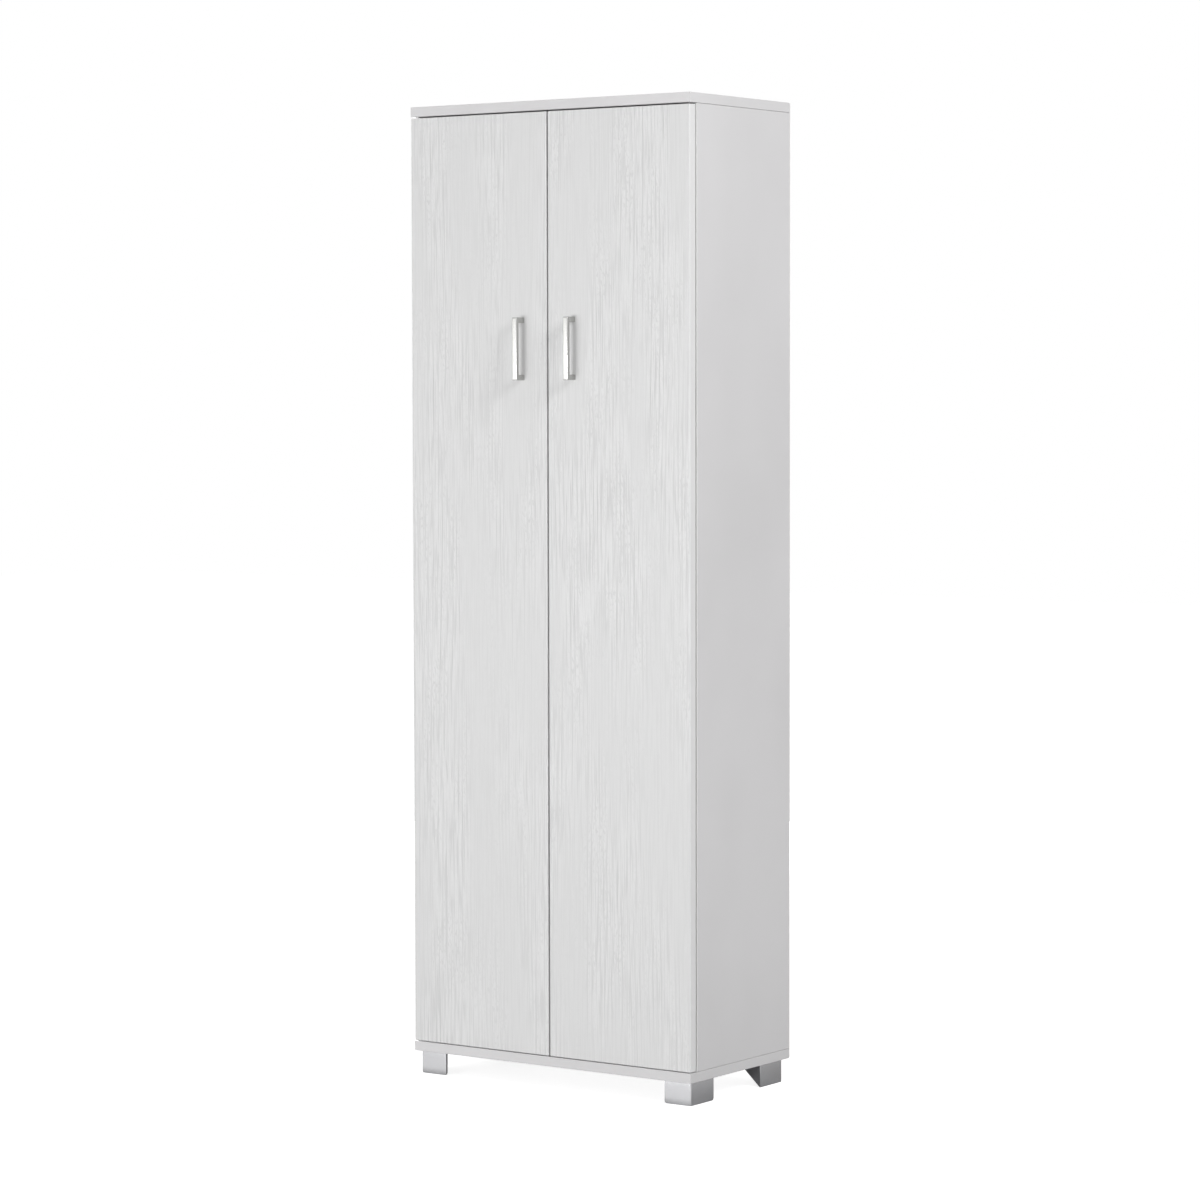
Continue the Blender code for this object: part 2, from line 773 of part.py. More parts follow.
def spread(start, end, pitch):
    """Evenly spaced places from start to end, no further apart than about one pitch."""
    count = max(1, round((end - start) / pitch))
    return [start + (end - start) * i / count for i in range(count + 1)]


def drill_nail_holes():
    """Holes round the edge of the back panel, over the rear edges of the carcass."""
    spots = []
    low, high = floor_z + NAIL_END_DISTANCE, ceiling_z - NAIL_END_DISTANCE
    for z in spread(low, high, NAIL_PITCH):
        spots += [(-panel_mid_x, z), (panel_mid_x, z)]
    reach = inner_half - NAIL_END_DISTANCE
    for x in spread(-reach, reach, NAIL_PITCH):
        spots += [
            (x, ceiling_z + PANEL_THICKNESS / 2),
            (x, FOOT_HEIGHT + PANEL_THICKNESS / 2),
        ]
    for x, z in spots:
        start = (x, rear_y + CUT_OVERRUN, z)
        drill("back_panel", start, (x, carcass_rear_y, z), NAIL_HOLE_RADIUS)


def make_bumpers():
    """Pads on the front edge of the fixed shelf, one behind each door."""
    z = shelf_lows[FIXED_SHELF_INDEX] + SHELF_THICKNESS / 2
    for side, sign in (("left", -1), ("right", 1)):
        x = sign * BUMPER_FROM_CENTRE
        bm = bmesh.new()
        add_rod(
            bm,
            (x, carcass_front_y - SEAT_GAP, z),
            (x, door_back_y + SEAT_GAP, z),
            BUMPER_RADIUS,
            ROD_SIDES,
        )
        name = f"{side}_door_bumper"
        link_object(name, mesh_from(bm, name), "clear_rubber")


def make_bracket():
    """An angle under the top panel, against the back, for a screw into the wall."""
    heel_y = carcass_rear_y
    heel_z = ceiling_z - SEAT_GAP
    outline = [
        (heel_y, heel_z),
        (heel_y - BRACKET_LEG, heel_z),
        (heel_y - BRACKET_LEG, heel_z - BRACKET_THICKNESS),
        (heel_y - BRACKET_THICKNESS, heel_z - BRACKET_THICKNESS),
        (heel_y - BRACKET_THICKNESS, heel_z - BRACKET_LEG),
        (heel_y, heel_z - BRACKET_LEG),
    ]
    stand = Matrix(((0, 0, 1, 0), (1, 0, 0, 0), (0, 1, 0, 0), (0, 0, 0, 1)))
    mesh = outline_mesh("wall_bracket", outline, BRACKET_WIDTH, stand)
    link_object("wall_bracket", mesh, "nickelled_steel")
    middle = BRACKET_LEG / 2 + BRACKET_THICKNESS
    overrun = BRACKET_THICKNESS + CUT_OVERRUN
    drill(
        "wall_bracket",
        (0, heel_y - middle, heel_z - overrun),
        (0, heel_y - middle, heel_z + CUT_OVERRUN),
        SCREW_HOLE_RADIUS,
    )
    for name in ("wall_bracket", "back_panel"):
        drill(
            name,
            (0, heel_y - overrun, heel_z - middle),
            (0, rear_y + CUT_OVERRUN, heel_z - middle),
            WALL_HOLE_RADIUS,
            ROD_SIDES,
            layer="wall_hole",
        )


def main():
    global collection, cutter_collection
    clear_scene()
    collection = make_collection(COLLECTION_NAME)
    cutter_collection = make_collection(COLLECTION_NAME + "_cutters")
    make_materials()
    make_carcass()
    make_shelves()
    make_shelf_pins()
    make_doors()
    make_hinges()
    make_handles()
    make_feet()
    drill_nail_holes()
    make_bumpers()
    make_bracket()
    cut_drillings()


main()
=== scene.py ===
import json
import math
from functools import partial

import bmesh
import bpy
import numpy as np
from mathutils import Matrix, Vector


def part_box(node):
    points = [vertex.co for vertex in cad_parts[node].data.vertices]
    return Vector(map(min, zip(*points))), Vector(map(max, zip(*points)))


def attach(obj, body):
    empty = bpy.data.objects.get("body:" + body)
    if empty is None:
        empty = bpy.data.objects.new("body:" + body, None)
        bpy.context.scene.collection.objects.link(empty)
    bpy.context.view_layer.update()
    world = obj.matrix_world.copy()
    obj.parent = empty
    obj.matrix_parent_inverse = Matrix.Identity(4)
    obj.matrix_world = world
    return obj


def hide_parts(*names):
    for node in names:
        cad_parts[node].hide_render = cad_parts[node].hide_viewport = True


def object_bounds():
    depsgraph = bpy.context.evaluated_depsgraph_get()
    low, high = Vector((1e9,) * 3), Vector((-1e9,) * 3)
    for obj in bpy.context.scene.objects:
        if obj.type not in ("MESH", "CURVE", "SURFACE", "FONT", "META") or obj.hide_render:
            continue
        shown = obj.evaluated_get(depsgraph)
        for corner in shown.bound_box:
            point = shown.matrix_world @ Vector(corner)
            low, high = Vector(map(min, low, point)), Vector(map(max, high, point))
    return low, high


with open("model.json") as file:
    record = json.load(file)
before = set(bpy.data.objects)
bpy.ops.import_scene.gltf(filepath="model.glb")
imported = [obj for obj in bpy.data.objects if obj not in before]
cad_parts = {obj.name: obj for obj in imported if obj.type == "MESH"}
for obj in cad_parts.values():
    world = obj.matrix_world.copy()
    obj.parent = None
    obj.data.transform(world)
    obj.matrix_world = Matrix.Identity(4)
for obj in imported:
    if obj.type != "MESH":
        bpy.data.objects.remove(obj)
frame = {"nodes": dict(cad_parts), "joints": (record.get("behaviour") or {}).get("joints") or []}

cadBox = [list(corner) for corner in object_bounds()]
print("loaded the packed cupboard:", len(frame["nodes"]), "pieces")

# Lengths are metres and angles degrees. The doors face -Y and the floor is z = 0.
sides = (("left", -1), ("right", 1))
levels = ("lower", "middle", "upper")
rows = ("front", "rear")
doorPins = {side: frame["joints"][i]["pos_m"] for i, (side, sign) in enumerate(sides)}
noiseSpan = (0.3, 0.7)        # nearly all of a noise's values lie between these


def corners(node):
    return [np.array(corner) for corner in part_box(node)]


def middleOf(node):
    low, high = corners(node)
    return (low + high) / 2


def linearColour(hexText):
    # sRGB hex to the linear values that a shader takes
    channels = [int(hexText[i:i + 2], 16) / 255 for i in (1, 3, 5)]
    return (*[c / 12.92 if c <= 0.04045 else ((c + 0.055) / 1.055) ** 2.4 for c in channels], 1.0)


def feed(node, sockets):
    # a socket is fed by another node's output, a number, a vector or a colour in hex
    for name, value in sockets.items():
        if isinstance(value, bpy.types.NodeSocket):
            node.id_data.links.new(value, node.inputs[name])
        else:
            isHex = isinstance(value, str)
            node.inputs[name].default_value = linearColour(value) if isHex else value


def addNode(tree, kind, sockets=(), **settings):
    # one shader node; its sockets are given by name, or in their order
    node = tree.nodes.new("ShaderNode" + kind)
    for name, value in settings.items():
        setattr(node, name, value)
    feed(node, sockets if isinstance(sockets, dict) else dict(enumerate(sockets)))
    return node.outputs


def startMaterial(name, sockets):
    # a material and its Principled shader, what adds a node to it, and the place of each
    # point in the object
    material = bpy.data.materials.new(name)
    material.use_nodes = True
    shader = material.node_tree.nodes["Principled BSDF"]
    feed(shader, sockets)
    add = partial(addNode, material.node_tree)
    return material, shader, add, add("TexCoord")["Object"]


def stretchedNoise(add, place, sizes, detail=2.0, roughness=0.5, shift=(0, 0, 0)):
    # noise whose features are sizes (x, y, z) long, in metres
    scale = [1 / size for size in sizes]
    spread = add("Mapping", {"Vector": place, "Scale": scale, "Location": shift})[0]
    noise = {"Vector": spread, "Scale": 1.0, "Detail": detail, "Roughness": roughness}
    return add("TexNoise", noise)["Fac"]


def roughRange(v):
    # the range from a noise's span to a little less and a little more than the roughness
    return [*noiseSpan, *(v["roughness"] + change for change in v["roughSpread"])]


def depthsInBoard(add, place, box):
    # how deep a point lies below the nearer face of a board, along x, y and z
    low, high = box
    apart = add("VectorMath", [place, ((high + low) / 2).tolist()], operation="SUBTRACT")[0]
    apart = add("VectorMath", [apart], operation="ABSOLUTE")[0]
    depths = add("VectorMath", [((high - low) / 2).tolist(), apart], operation="SUBTRACT")[0]
    return add("SeparateXYZ", [depths])


def insideBoard(add, depths, skin):
    # 1 on what lies deeper than skin below every face, as a hole's wall does
    least = add("Math", [depths[0], depths[1]], operation="MINIMUM")[0]
    least = add("Math", [least, depths[2]], operation="MINIMUM")[0]
    return add("Math", [least, skin], operation="GREATER_THAN")[0]


# The doors are fibreboard in white PVC foil, pressed with an ash grain: satin white, with
# fine upright year lines, short flecks beside them, and a shade less light in the grooves.
# Year lines are 9 mm apart, coarser than those of ash, so that they show from afar. In calm
# zones all of it is fainter. A range gives two values of a noise, and the strengths at them
# where these aren't 0 and 1.
doorGrain = {
    "foil": "#E2E2E2", "groove": "#CDCDCD", "core": "#B29670", "roughness": 0.47,
    "grooveRough": 0.10, "skin": 0.0012, "depth": 0.0004, "bandDepth": 0.0003, "flat": 0.05,
    "ringPitch": 0.009, "ringDrift": 6.0, "lineShare": 0.38, "sideShift": (3.1, 0, 7.7),
    "driftWidth": 0.16, "driftLength": 1.5,
    "fadeWidth": 0.014, "fadeLength": 0.22, "fadeRange": (0.38, 0.62),
    "fleckWidth": 0.0034, "fleckLength": 0.011, "fleckRange": (0.46, 0.66),
    "patchWidth": 0.05, "patchLength": 0.16, "patchRange": (0.44, 0.60, 0.15, 0.60),
    "fibreWidth": 0.0040, "fibreLength": 0.10, "fibreRange": (0.46, 0.62, 0.0, 0.7),
    "calmWidth": 0.10, "calmLength": 0.60, "calmRange": (0.42, 0.58, 0.25, 1.0),
    "meanTone": 0.38,
}


def makeGrainedFoil(name, box, shift):
    v = doorGrain
    finish = {"Base Color": v["foil"], "Roughness": v["roughness"]}
    material, shader, add, place = startMaterial(name, finish)

    def grain(kind, detail=2.0, roughness=0.5):
        sizes = (v[kind + "Width"], v["flat"], v[kind + "Length"])
        return stretchedNoise(add, place, sizes, detail, roughness, shift)

    # a line each time that x over the pitch, plus the drift, passes a whole number
    x = add("SeparateXYZ", [place])[0]
    pitches = add("Math", [x, v["ringPitch"]], operation="DIVIDE")[0]
    drift = grain("drift", detail=1.5)
    turns = add("Math", [drift, v["ringDrift"], pitches], operation="MULTIPLY_ADD")[0]
    part = add("Math", [turns], operation="FRACT")[0]
    apart = add("Math", [part, 0.5], operation="SUBTRACT")[0]
    apart = add("Math", [apart], operation="ABSOLUTE")[0]
    share = v["lineShare"]
    line = add("MapRange", [apart, 0.5 - share / 2, 0.5 - share / 8])[0]
    fade = add("MapRange", [grain("fade", roughness=0.6), *v["fadeRange"]])[0]
    line = add("Math", [line, fade], operation="MULTIPLY")[0]
    # flecks lie in patches, and longer fibres run everywhere
    fleck = add("MapRange", [grain("fleck", detail=1.0), *v["fleckRange"]])[0]
    patch = add("MapRange", [grain("patch"), *v["patchRange"]])[0]
    fleck = add("Math", [fleck, patch], operation="MULTIPLY")[0]
    fibre = add("MapRange", [grain("fibre", roughness=0.6), *v["fibreRange"]])[0]
    groove = add("Math", [fleck, fibre], operation="MAXIMUM")[0]
    groove = add("Math", [line, groove], operation="MAXIMUM")[0]
    # the contrast falls in the calm zones, and the mean tone stays
    contrast = add("MapRange", [grain("calm", detail=1.0), *v["calmRange"]])[0]
    groove = add("Math", [groove, v["meanTone"]], operation="SUBTRACT")[0]
    groove = add("Math", [groove, contrast, v["meanTone"]], operation="MULTIPLY_ADD")[0]
    # the narrow faces carry a plain band
    depths = depthsInBoard(add, place, box)
    narrow = add("Math", [depths[0], depths[2]], operation="MINIMUM")[0]
    broad = add("Math", [narrow, v["bandDepth"]], operation="GREATER_THAN")[0]
    groove = add("Math", [groove, broad], operation="MULTIPLY")[0]
    white = add("Mix", {0: groove, 6: v["foil"], 7: v["groove"]}, data_type="RGBA")[2]
    hole = insideBoard(add, depths, v["skin"])
    height = add("Math", [1.0, groove], operation="SUBTRACT")[0]
    rough = [groove, 0, 1, v["roughness"], v["roughness"] + v["grooveRough"]]
    feed(shader, {
        "Base Color": add("Mix", {0: hole, 6: white, 7: v["core"]}, data_type="RGBA")[2],
        "Roughness": add("MapRange", rough)[0],
        "Normal": add("Bump", {"Height": height, "Distance": v["depth"], "Strength": 1.0})[0],
    })
    return material


# Carcass boards are chipboard in white melamine, edged in a band of the same white: even
# and satin, with a skin so faintly pearled that only its gloss shows it. Their front edges
# behind the doors are painted a lighter white than the faces, which is painted light for the
# shade in the slots beside the doors. Thin dark lines mark the edge bands' seams, and on the
# side panels painted shade at their joints with the top and bottom panels.
melamine = {
    "face": "#D9D8D9", "seamAndShade": "#9F9E9E", "paintedLightEdge": "#EEEEED", "core": "#B08F66",
    "crumb": "#8C6B45", "roughness": 0.40, "roughSpread": (-0.03, 0.05), "skin": 0.0009,
    "pearlSize": 0.0016, "pearlDepth": 0.00003, "edgeBand": 0.0010, "darkLineWidth": 0.0004,
    "darkLineStrength": 0.6, "crumbSize": 0.0022, "crumbRange": (0.4, 0.6),
    "cloudSizes": (0.25, 0.25, 0.40), "cloudRange": (0.35, 0.65, 0.0, 0.10),
}


def makeMelamine(name, box, seamAndShadeLines, paintedLightFront):
    # each thin dark line is an (axis, position): the seams of edge bands, and on the side
    # panels painted shade at their joints with the top and bottom panels. The last argument
    # gives the front edges a lighter white, which is painted light
    v = melamine
    finish = {"Base Color": v["face"], "Roughness": v["roughness"]}
    material, shader, add, place = startMaterial(name, finish)
    pearl = stretchedNoise(add, place, (v["pearlSize"],) * 3)
    clouds = add("MapRange", [stretchedNoise(add, place, v["cloudSizes"]), *v["cloudRange"]])[0]
    colour = add("Mix", {0: clouds, 6: v["face"], 7: v["seamAndShade"]}, data_type="RGBA")[2]
    axes = add("SeparateXYZ", [place])
    # a lighter white on the front edges: painted light, for the shade in the slots beside the doors
    if paintedLightFront:
        band = [axes[1], float(box[0][1]) + v["edgeBand"]]
        band = add("Math", band, operation="LESS_THAN")[0]
        colour = add("Mix", {0: band, 6: colour, 7: v["paintedLightEdge"]}, data_type="RGBA")[2]
    # dark lines: edge band seams, and painted shade at the side panels' joints
    for axis, position in seamAndShadeLines:
        apart = add("Math", [axes[axis], position], operation="SUBTRACT")[0]
        apart = add("Math", [apart], operation="ABSOLUTE")[0]
        line = add("Math", [apart, v["darkLineWidth"] / 2], operation="LESS_THAN")[0]
        line = add("Math", [line, v["darkLineStrength"]], operation="MULTIPLY")[0]
        colour = add("Mix", {0: line, 6: colour, 7: v["seamAndShade"]}, data_type="RGBA")[2]
    crumbs = stretchedNoise(add, place, (v["crumbSize"],) * 3, detail=3.0)
    crumbs = add("MapRange", [crumbs, *v["crumbRange"]])[0]
    raw = add("Mix", {0: crumbs, 6: v["core"], 7: v["crumb"]}, data_type="RGBA")[2]
    hole = insideBoard(add, depthsInBoard(add, place, box), v["skin"])
    bump = {"Height": pearl, "Distance": v["pearlDepth"], "Strength": 1.0}
    feed(shader, {
        "Base Color": add("Mix", {0: hole, 6: colour, 7: raw}, data_type="RGBA")[2],
        "Roughness": add("MapRange", [pearl, *roughRange(v)])[0],
        "Normal": add("Bump", bump)[0],
    })
    return material


# The back is 3 mm hardboard: bare brown wood fibre outside, pressed in a fine mesh of
# lumps, and a coat of white lacquer towards the shelves and on the cut edges.
hardboard = {
    "light": "#A98A66", "dark": "#856849", "lacquer": "#DEDDDC", "roughness": 0.72,
    "lacquerRough": 0.42, "specular": 0.3, "fibreSize": 0.004, "fibreShare": 0.85,
    "blotchSizes": (0.08, 0.08, 0.11), "blotchShare": 0.15, "shadeRange": (0.36, 0.62),
    "meshSize": 0.0016, "depth": 0.00012, "coat": 0.0003,
}


def makeHardboard(name, box):
    v = hardboard
    finish = {
        "Base Color": v["light"], "Roughness": v["roughness"],
        "Specular IOR Level": v["specular"],
    }
    material, shader, add, place = startMaterial(name, finish)
    size = v["fibreSize"]
    fibres = stretchedNoise(add, place, (size, size, 2 * size), detail=4.0, roughness=0.65)
    fibres = add("Math", [fibres, v["fibreShare"]], operation="MULTIPLY")[0]
    blotches = stretchedNoise(add, place, v["blotchSizes"], detail=3.0)
    blotches = add("Math", [blotches, v["blotchShare"]], operation="MULTIPLY")[0]
    shade = add("Math", [fibres, blotches], operation="ADD")[0]
    shade = add("MapRange", [shade, *v["shadeRange"]])[0]
    bareAndPaintedShade = add("Mix", {0: shade, 6: v["dark"], 7: v["light"]}, data_type="RGBA")[2]
    y = add("SeparateXYZ", [place])[1]
    front = add("Math", [y, float(box[0][1]) + v["coat"]], operation="LESS_THAN")[0]
    depths = depthsInBoard(add, place, box)
    edge = add("Math", [depths[0], depths[2]], operation="MINIMUM")[0]
    edge = add("Math", [edge, v["coat"]], operation="LESS_THAN")[0]
    lacquered = add("Math", [front, edge], operation="MAXIMUM")[0]
    uncoated = add("Math", [1.0, lacquered], operation="SUBTRACT")[0]
    mesh = stretchedNoise(add, place, (v["meshSize"],) * 3, detail=1.0)
    mesh = add("Math", [mesh, uncoated], operation="MULTIPLY")[0]
    rough = [lacquered, 0, 1, v["roughness"], v["lacquerRough"]]
    coated = {0: lacquered, 6: bareAndPaintedShade, 7: v["lacquer"]}
    feed(shader, {
        "Base Color": add("Mix", coated, data_type="RGBA")[2],
        "Roughness": add("MapRange", rough)[0],
        "Normal": add("Bump", {"Height": mesh, "Distance": v["depth"], "Strength": 1.0})[0],
    })
    return material


# Handles are cast zinc, satin nickel plated: a soft silver with hair lines along the bar.
# Hair lines are 0.4 mm apart here, coarser than brushing, so that they show.
satinNickel = {
    "metal": "#C1C1BF", "darker": "#B4B4B2", "roughness": 0.22, "roughSpread": (-0.05, 0.07),
    "lineWidth": 0.0004, "lineLength": 0.04, "depth": 0.000012,
}
# Feet are moulded ABS in silver lacquer: grey, with a fine metal fleck and a satin gloss.
# The lacquer is on their two outer faces. Elsewhere they are dull, not metallic, and a dark grey
# that is painted shade, for the shade beneath the cupboard.
silverAbs = {
    "lacquer": "#B2B2B4", "fleck": "#C2C2C4", "bareAndPaintedShade": "#6C6C6F", "roughness": 0.20,
    "roughSpread": (-0.04, 0.06), "dull": 0.50, "fleckSize": 0.0006,
    "fleckRange": (0.5, 0.72), "depth": 0.00002, "skin": 0.0013,
}
# Hinges, pins and screws are pressed steel, nickel plated: warm, smooth and mirror-like,
# with the slight waves of the press.
nickelSteel = {
    "metal": "#BDB9B0", "worn": "#9C978D", "roughness": 0.24, "roughSpread": (-0.04, 0.10),
    "waveSize": 0.006, "toneRange": (0.35, 0.7), "depth": 0.00003,
}
# Pads are clear PVC: milky, with a soft shine.
clearPvc = {
    "tint": "#DADAD6", "milk": "#EDEDEA", "clearness": 0.55, "ior": 1.49, "roughness": 0.30,
    "roughSpread": (-0.06, 0.10), "cloudSize": 0.002,
}
# Caps are moulded white polystyrene, a little bluer and glossier than the boards.
capPlastic = {
    "white": "#E6E7E9", "shade": "#D2D3D6", "roughness": 0.33, "roughSpread": (-0.03, 0.05),
    "cloudSize": 0.004, "toneRange": (0.35, 0.7),
}


def metalFinish(v):
    # what a plated metal's shader starts from
    return {"Base Color": v["metal"], "Roughness": v["roughness"], "Metallic": 1.0}


def makeSatinNickel():
    v = satinNickel
    material, shader, add, place = startMaterial("satinNickel", metalFinish(v))
    lines = stretchedNoise(add, place, (v["lineWidth"], v["lineWidth"], v["lineLength"]))
    tone = add("MapRange", [lines, *noiseSpan])[0]
    feed(shader, {
        "Base Color": add("Mix", {0: tone, 6: v["metal"], 7: v["darker"]}, data_type="RGBA")[2],
        "Roughness": add("MapRange", [lines, *roughRange(v)])[0],
        "Normal": add("Bump", {"Height": lines, "Distance": v["depth"], "Strength": 1.0})[0],
    })
    return material


def makeSilverAbs(name, outerX, outerY):
    # outerX and outerY: where the two lacquered faces lie
    v = silverAbs
    finish = {"Base Color": v["lacquer"], "Roughness": v["roughness"], "Metallic": 1.0}
    material, shader, add, place = startMaterial(name, finish)
    flecks = stretchedNoise(add, place, (v["fleckSize"],) * 3, detail=1.0)
    axes = add("SeparateXYZ", [place])
    near = [add("Math", [axes[i], float(outer), v["skin"]], operation="COMPARE")[0]
            for i, outer in enumerate((outerX, outerY))]
    lacquered = add("Math", near, operation="MAXIMUM")[0]
    tone = add("MapRange", [flecks, *v["fleckRange"]])[0]
    colour = add("Mix", {0: tone, 6: v["lacquer"], 7: v["fleck"]}, data_type="RGBA")[2]
    uncoated = add("Math", [1.0, lacquered], operation="SUBTRACT")[0]
    dull = add("Math", [uncoated, v["dull"]], operation="MULTIPLY")[0]
    satin = add("MapRange", [flecks, *roughRange(v)])[0]
    # the faces other than the outer two get a dark grey: painted shade
    coated = {0: lacquered, 6: v["bareAndPaintedShade"], 7: colour}
    feed(shader, {
        "Base Color": add("Mix", coated, data_type="RGBA")[2],
        "Metallic": lacquered,
        "Roughness": add("Math", [satin, dull], operation="MAXIMUM")[0],
        "Normal": add("Bump", {"Height": flecks, "Distance": v["depth"], "Strength": 1.0})[0],
    })
    return material


def makeNickelSteel():
    v = nickelSteel
    material, shader, add, place = startMaterial("nickelPlatedSteel", metalFinish(v))
    waves = stretchedNoise(add, place, (v["waveSize"],) * 3, detail=3.0)
    tone = add("MapRange", [waves, *v["toneRange"]])[0]
    feed(shader, {
        "Base Color": add("Mix", {0: tone, 6: v["metal"], 7: v["worn"]}, data_type="RGBA")[2],
        "Roughness": add("MapRange", [waves, *roughRange(v)])[0],
        "Normal": add("Bump", {"Height": waves, "Distance": v["depth"], "Strength": 1.0})[0],
    })
    return material


def makeClearPvc():
    v = clearPvc
    finish = {
        "Base Color": v["tint"], "Roughness": v["roughness"], "IOR": v["ior"],
        "Transmission Weight": v["clearness"],
    }
    material, shader, add, place = startMaterial("clearPvc", finish)
    clouds = stretchedNoise(add, place, (v["cloudSize"],) * 3)
    feed(shader, {
        "Base Color": add("Mix", {0: clouds, 6: v["tint"], 7: v["milk"]}, data_type="RGBA")[2],
        "Roughness": add("MapRange", [clouds, *roughRange(v)])[0],
    })
    return material


def makeCapPlastic():
    v = capPlastic
    finish = {"Base Color": v["white"], "Roughness": v["roughness"]}
    material, shader, add, place = startMaterial("whitePolystyrene", finish)
    clouds = stretchedNoise(add, place, (v["cloudSize"],) * 3)
    tone = add("MapRange", [clouds, *v["toneRange"]])[0]
    feed(shader, {
        "Base Color": add("Mix", {0: tone, 6: v["white"], 7: v["shade"]}, data_type="RGBA")[2],
        "Roughness": add("MapRange", [clouds, *roughRange(v)])[0],
    })
    return material


def paint(node, material):
    mesh = frame["nodes"][node].data
    mesh.materials.clear()
    mesh.materials.append(material)


nickel, steel = makeSatinNickel(), makeNickelSteel()
pvc, caps = makeClearPvc(), makeCapPlastic()

endPanels = ("top_panel", "bottom_panel")
boards = [*endPanels, "left_side_panel", "right_side_panel", "fixed_shelf"]
boards += [node for node in frame["nodes"] if node.startswith("adjustable_shelf")]
for board in boards:
    box = corners(board)
    seamsAndJointShade = [(1, float(box[0][1]) + melamine["edgeBand"])]
    if board in endPanels:
        seamsAndJointShade += [(0, sign * (float(box[1][0]) - melamine["edgeBand"])) for side, sign in sides]
    elif "side" in board:
        # lines at the side panel's top and bottom edges: painted shade of its joints with the top
        # and bottom panels
        inset = melamine["darkLineWidth"] / 2
        seamsAndJointShade += [(2, float(box[1][2]) - inset), (2, float(box[0][2]) + inset)]
    paint(board, makeMelamine("whiteMelamine_" + board, box, seamsAndJointShade, board not in endPanels))
for index, (side, sign) in enumerate(sides):
    shift = [index * along for along in doorGrain["sideShift"]]
    door = f"{side}_door"
    paint(door, makeGrainedFoil(f"grainedFoil_{side}", corners(door), shift))
paint("back_panel", makeHardboard("hardboard", corners("back_panel")))
for node in frame["nodes"]:
    if "hinge" in node or "pin_" in node or node.endswith("screw") or node == "wall_bracket":
        paint(node, steel)
print("made the finishes")


# Every new shape is a tube of points: rows go along it, and the columns of a row close
# round it. A row whose points all meet closes an end.
def roundedSection(halfThickness, halfWidth, edge, steps=5):
    # a rectangle whose corners are quarter circles of radius edge; the halves may be one
    # value for each row
    quarters = [np.linspace(q, q + 90, steps) for q in (0, 90, 180, 270)]
    angle = np.radians(np.concatenate(quarters))
    signA = np.repeat([1, -1, -1, 1], steps)
    signB = np.repeat([1, 1, -1, -1], steps)
    halfThickness, halfWidth = (np.atleast_1d(half)[:, None] for half in (halfThickness, halfWidth))
    a = signA * (halfThickness - edge) + edge * np.cos(angle)
    b = signB * (halfWidth - edge) + edge * np.sin(angle)
    return a, b


def roundedPath(points, radii, steps=8, straight=0.001):
    # straight lines between flat points, each inner corner an arc that touches both of its
    # lines: its centre lies on the corner's bisector, radius / sin(half the corner) away.
    # A corner that turns by less than straight, in radians, stays a point
    points = [np.array(p, float) for p in points]
    path = [points[0][None]]
    for before, corner, after, radius in zip(points, points[1:], points[2:], radii):
        a, b = (d / np.linalg.norm(d) for d in (before - corner, after - corner))
        half = math.acos(float(np.clip(a @ b, -1, 1))) / 2
        if radius == 0 or half > math.pi / 2 - straight:
            path.append(np.repeat(corner[None], steps, 0))
            continue
        bisector = (a + b) / np.linalg.norm(a + b)
        centre = corner + bisector * radius / math.sin(half)
        start = corner + a * radius / math.tan(half) - centre
        turn = np.linspace(0, math.pi - 2 * half, steps)[:, None]
        path.append(centre + start * np.cos(turn) - a * radius * np.sin(turn))
    path.append(points[-1][None])
    return np.concatenate(path)


def closedEnds(grid):
    # adds a row at each end, with all of its points at the middle of that end
    count = grid.shape[1]
    first, last = (np.repeat(row.mean(0)[None, None], count, 1) for row in (grid[0], grid[-1]))
    return np.concatenate([first, grid, last])


def ribbon(outer, inner, halfWidth, edge, widthMiddle=0.0):
    # a strip between two flat curves, with a rounded section in each row. Its points are
    # (u, v, w): u and v in the plane of the curves, and w across the strip's width
    gap = np.linalg.norm(outer - inner, axis=1)
    across = (outer - inner) / gap[:, None]
    a, b = roundedSection(gap / 2, halfWidth, edge)
    flat = ((outer + inner) / 2)[:, None] + a[..., None] * across[:, None]
    wide = np.broadcast_to(b + np.atleast_1d(widthMiddle)[:, None], a.shape)
    return closedEnds(np.concatenate([flat, wide[..., None]], 2))


def turned(profile, count=32):
    # a profile of (radius, height) turned about the third axis; it starts and ends at
    # radius 0 if the piece is closed
    angle = np.linspace(0, 2 * math.pi, count, endpoint=False)
    radius, height = np.array(profile).T[:, :, None]
    return np.stack([radius * np.cos(angle), radius * np.sin(angle), height + 0 * angle], 2)


# The cross of a screw's head, in shares of the head's radius.
screwCross = {
    "rings": (0, 0.12, 0.22, 0.32, 0.42, 0.52, 0.62, 0.76, 0.90, 1.0), "armWidth": 1.6,
    "armSlope": 0.10, "reach": 0.60, "reachSlope": 0.12,
}


def screwShape(v, count=32):
    # a domed head whose height falls with the square of the radius, with a cross sunk into
    # it where the point is near either axis, over a plain shank
    cross, radius = screwCross, v["radius"]
    share = np.array(cross["rings"])
    profile = [(radius * s, v["height"] * (1 - v["dome"] * s * s)) for s in share]
    profile += [(radius, 0.0), (v["shank"], 0.0), (v["shank"], -v["length"]), (0, -v["length"])]
    grid = turned(profile, count)
    x, y = np.abs(grid[:len(share), :, 0]), np.abs(grid[:len(share), :, 1])
    arm = cross["armWidth"] - np.minimum(x, y) / (radius * cross["armSlope"])
    reach = (radius * cross["reach"] - np.maximum(x, y)) / (radius * cross["reachSlope"])
    sunk = np.clip(arm, 0, 1) * np.clip(reach, 0, 1)
    grid[:len(share), :, 2] -= v["height"] * v["recess"] * sunk
    return grid


def placed(grid, origin, axes):
    # a grid whose own axes lie along the three given directions, from origin
    return grid @ np.array(axes, float) + np.array(origin, float)


def axesAlong(direction):
    # three directions, of which the last is the given one
    w = np.array(direction, float)
    u = np.roll(np.abs(w), 1)
    return np.array([u, np.cross(w, u), w])


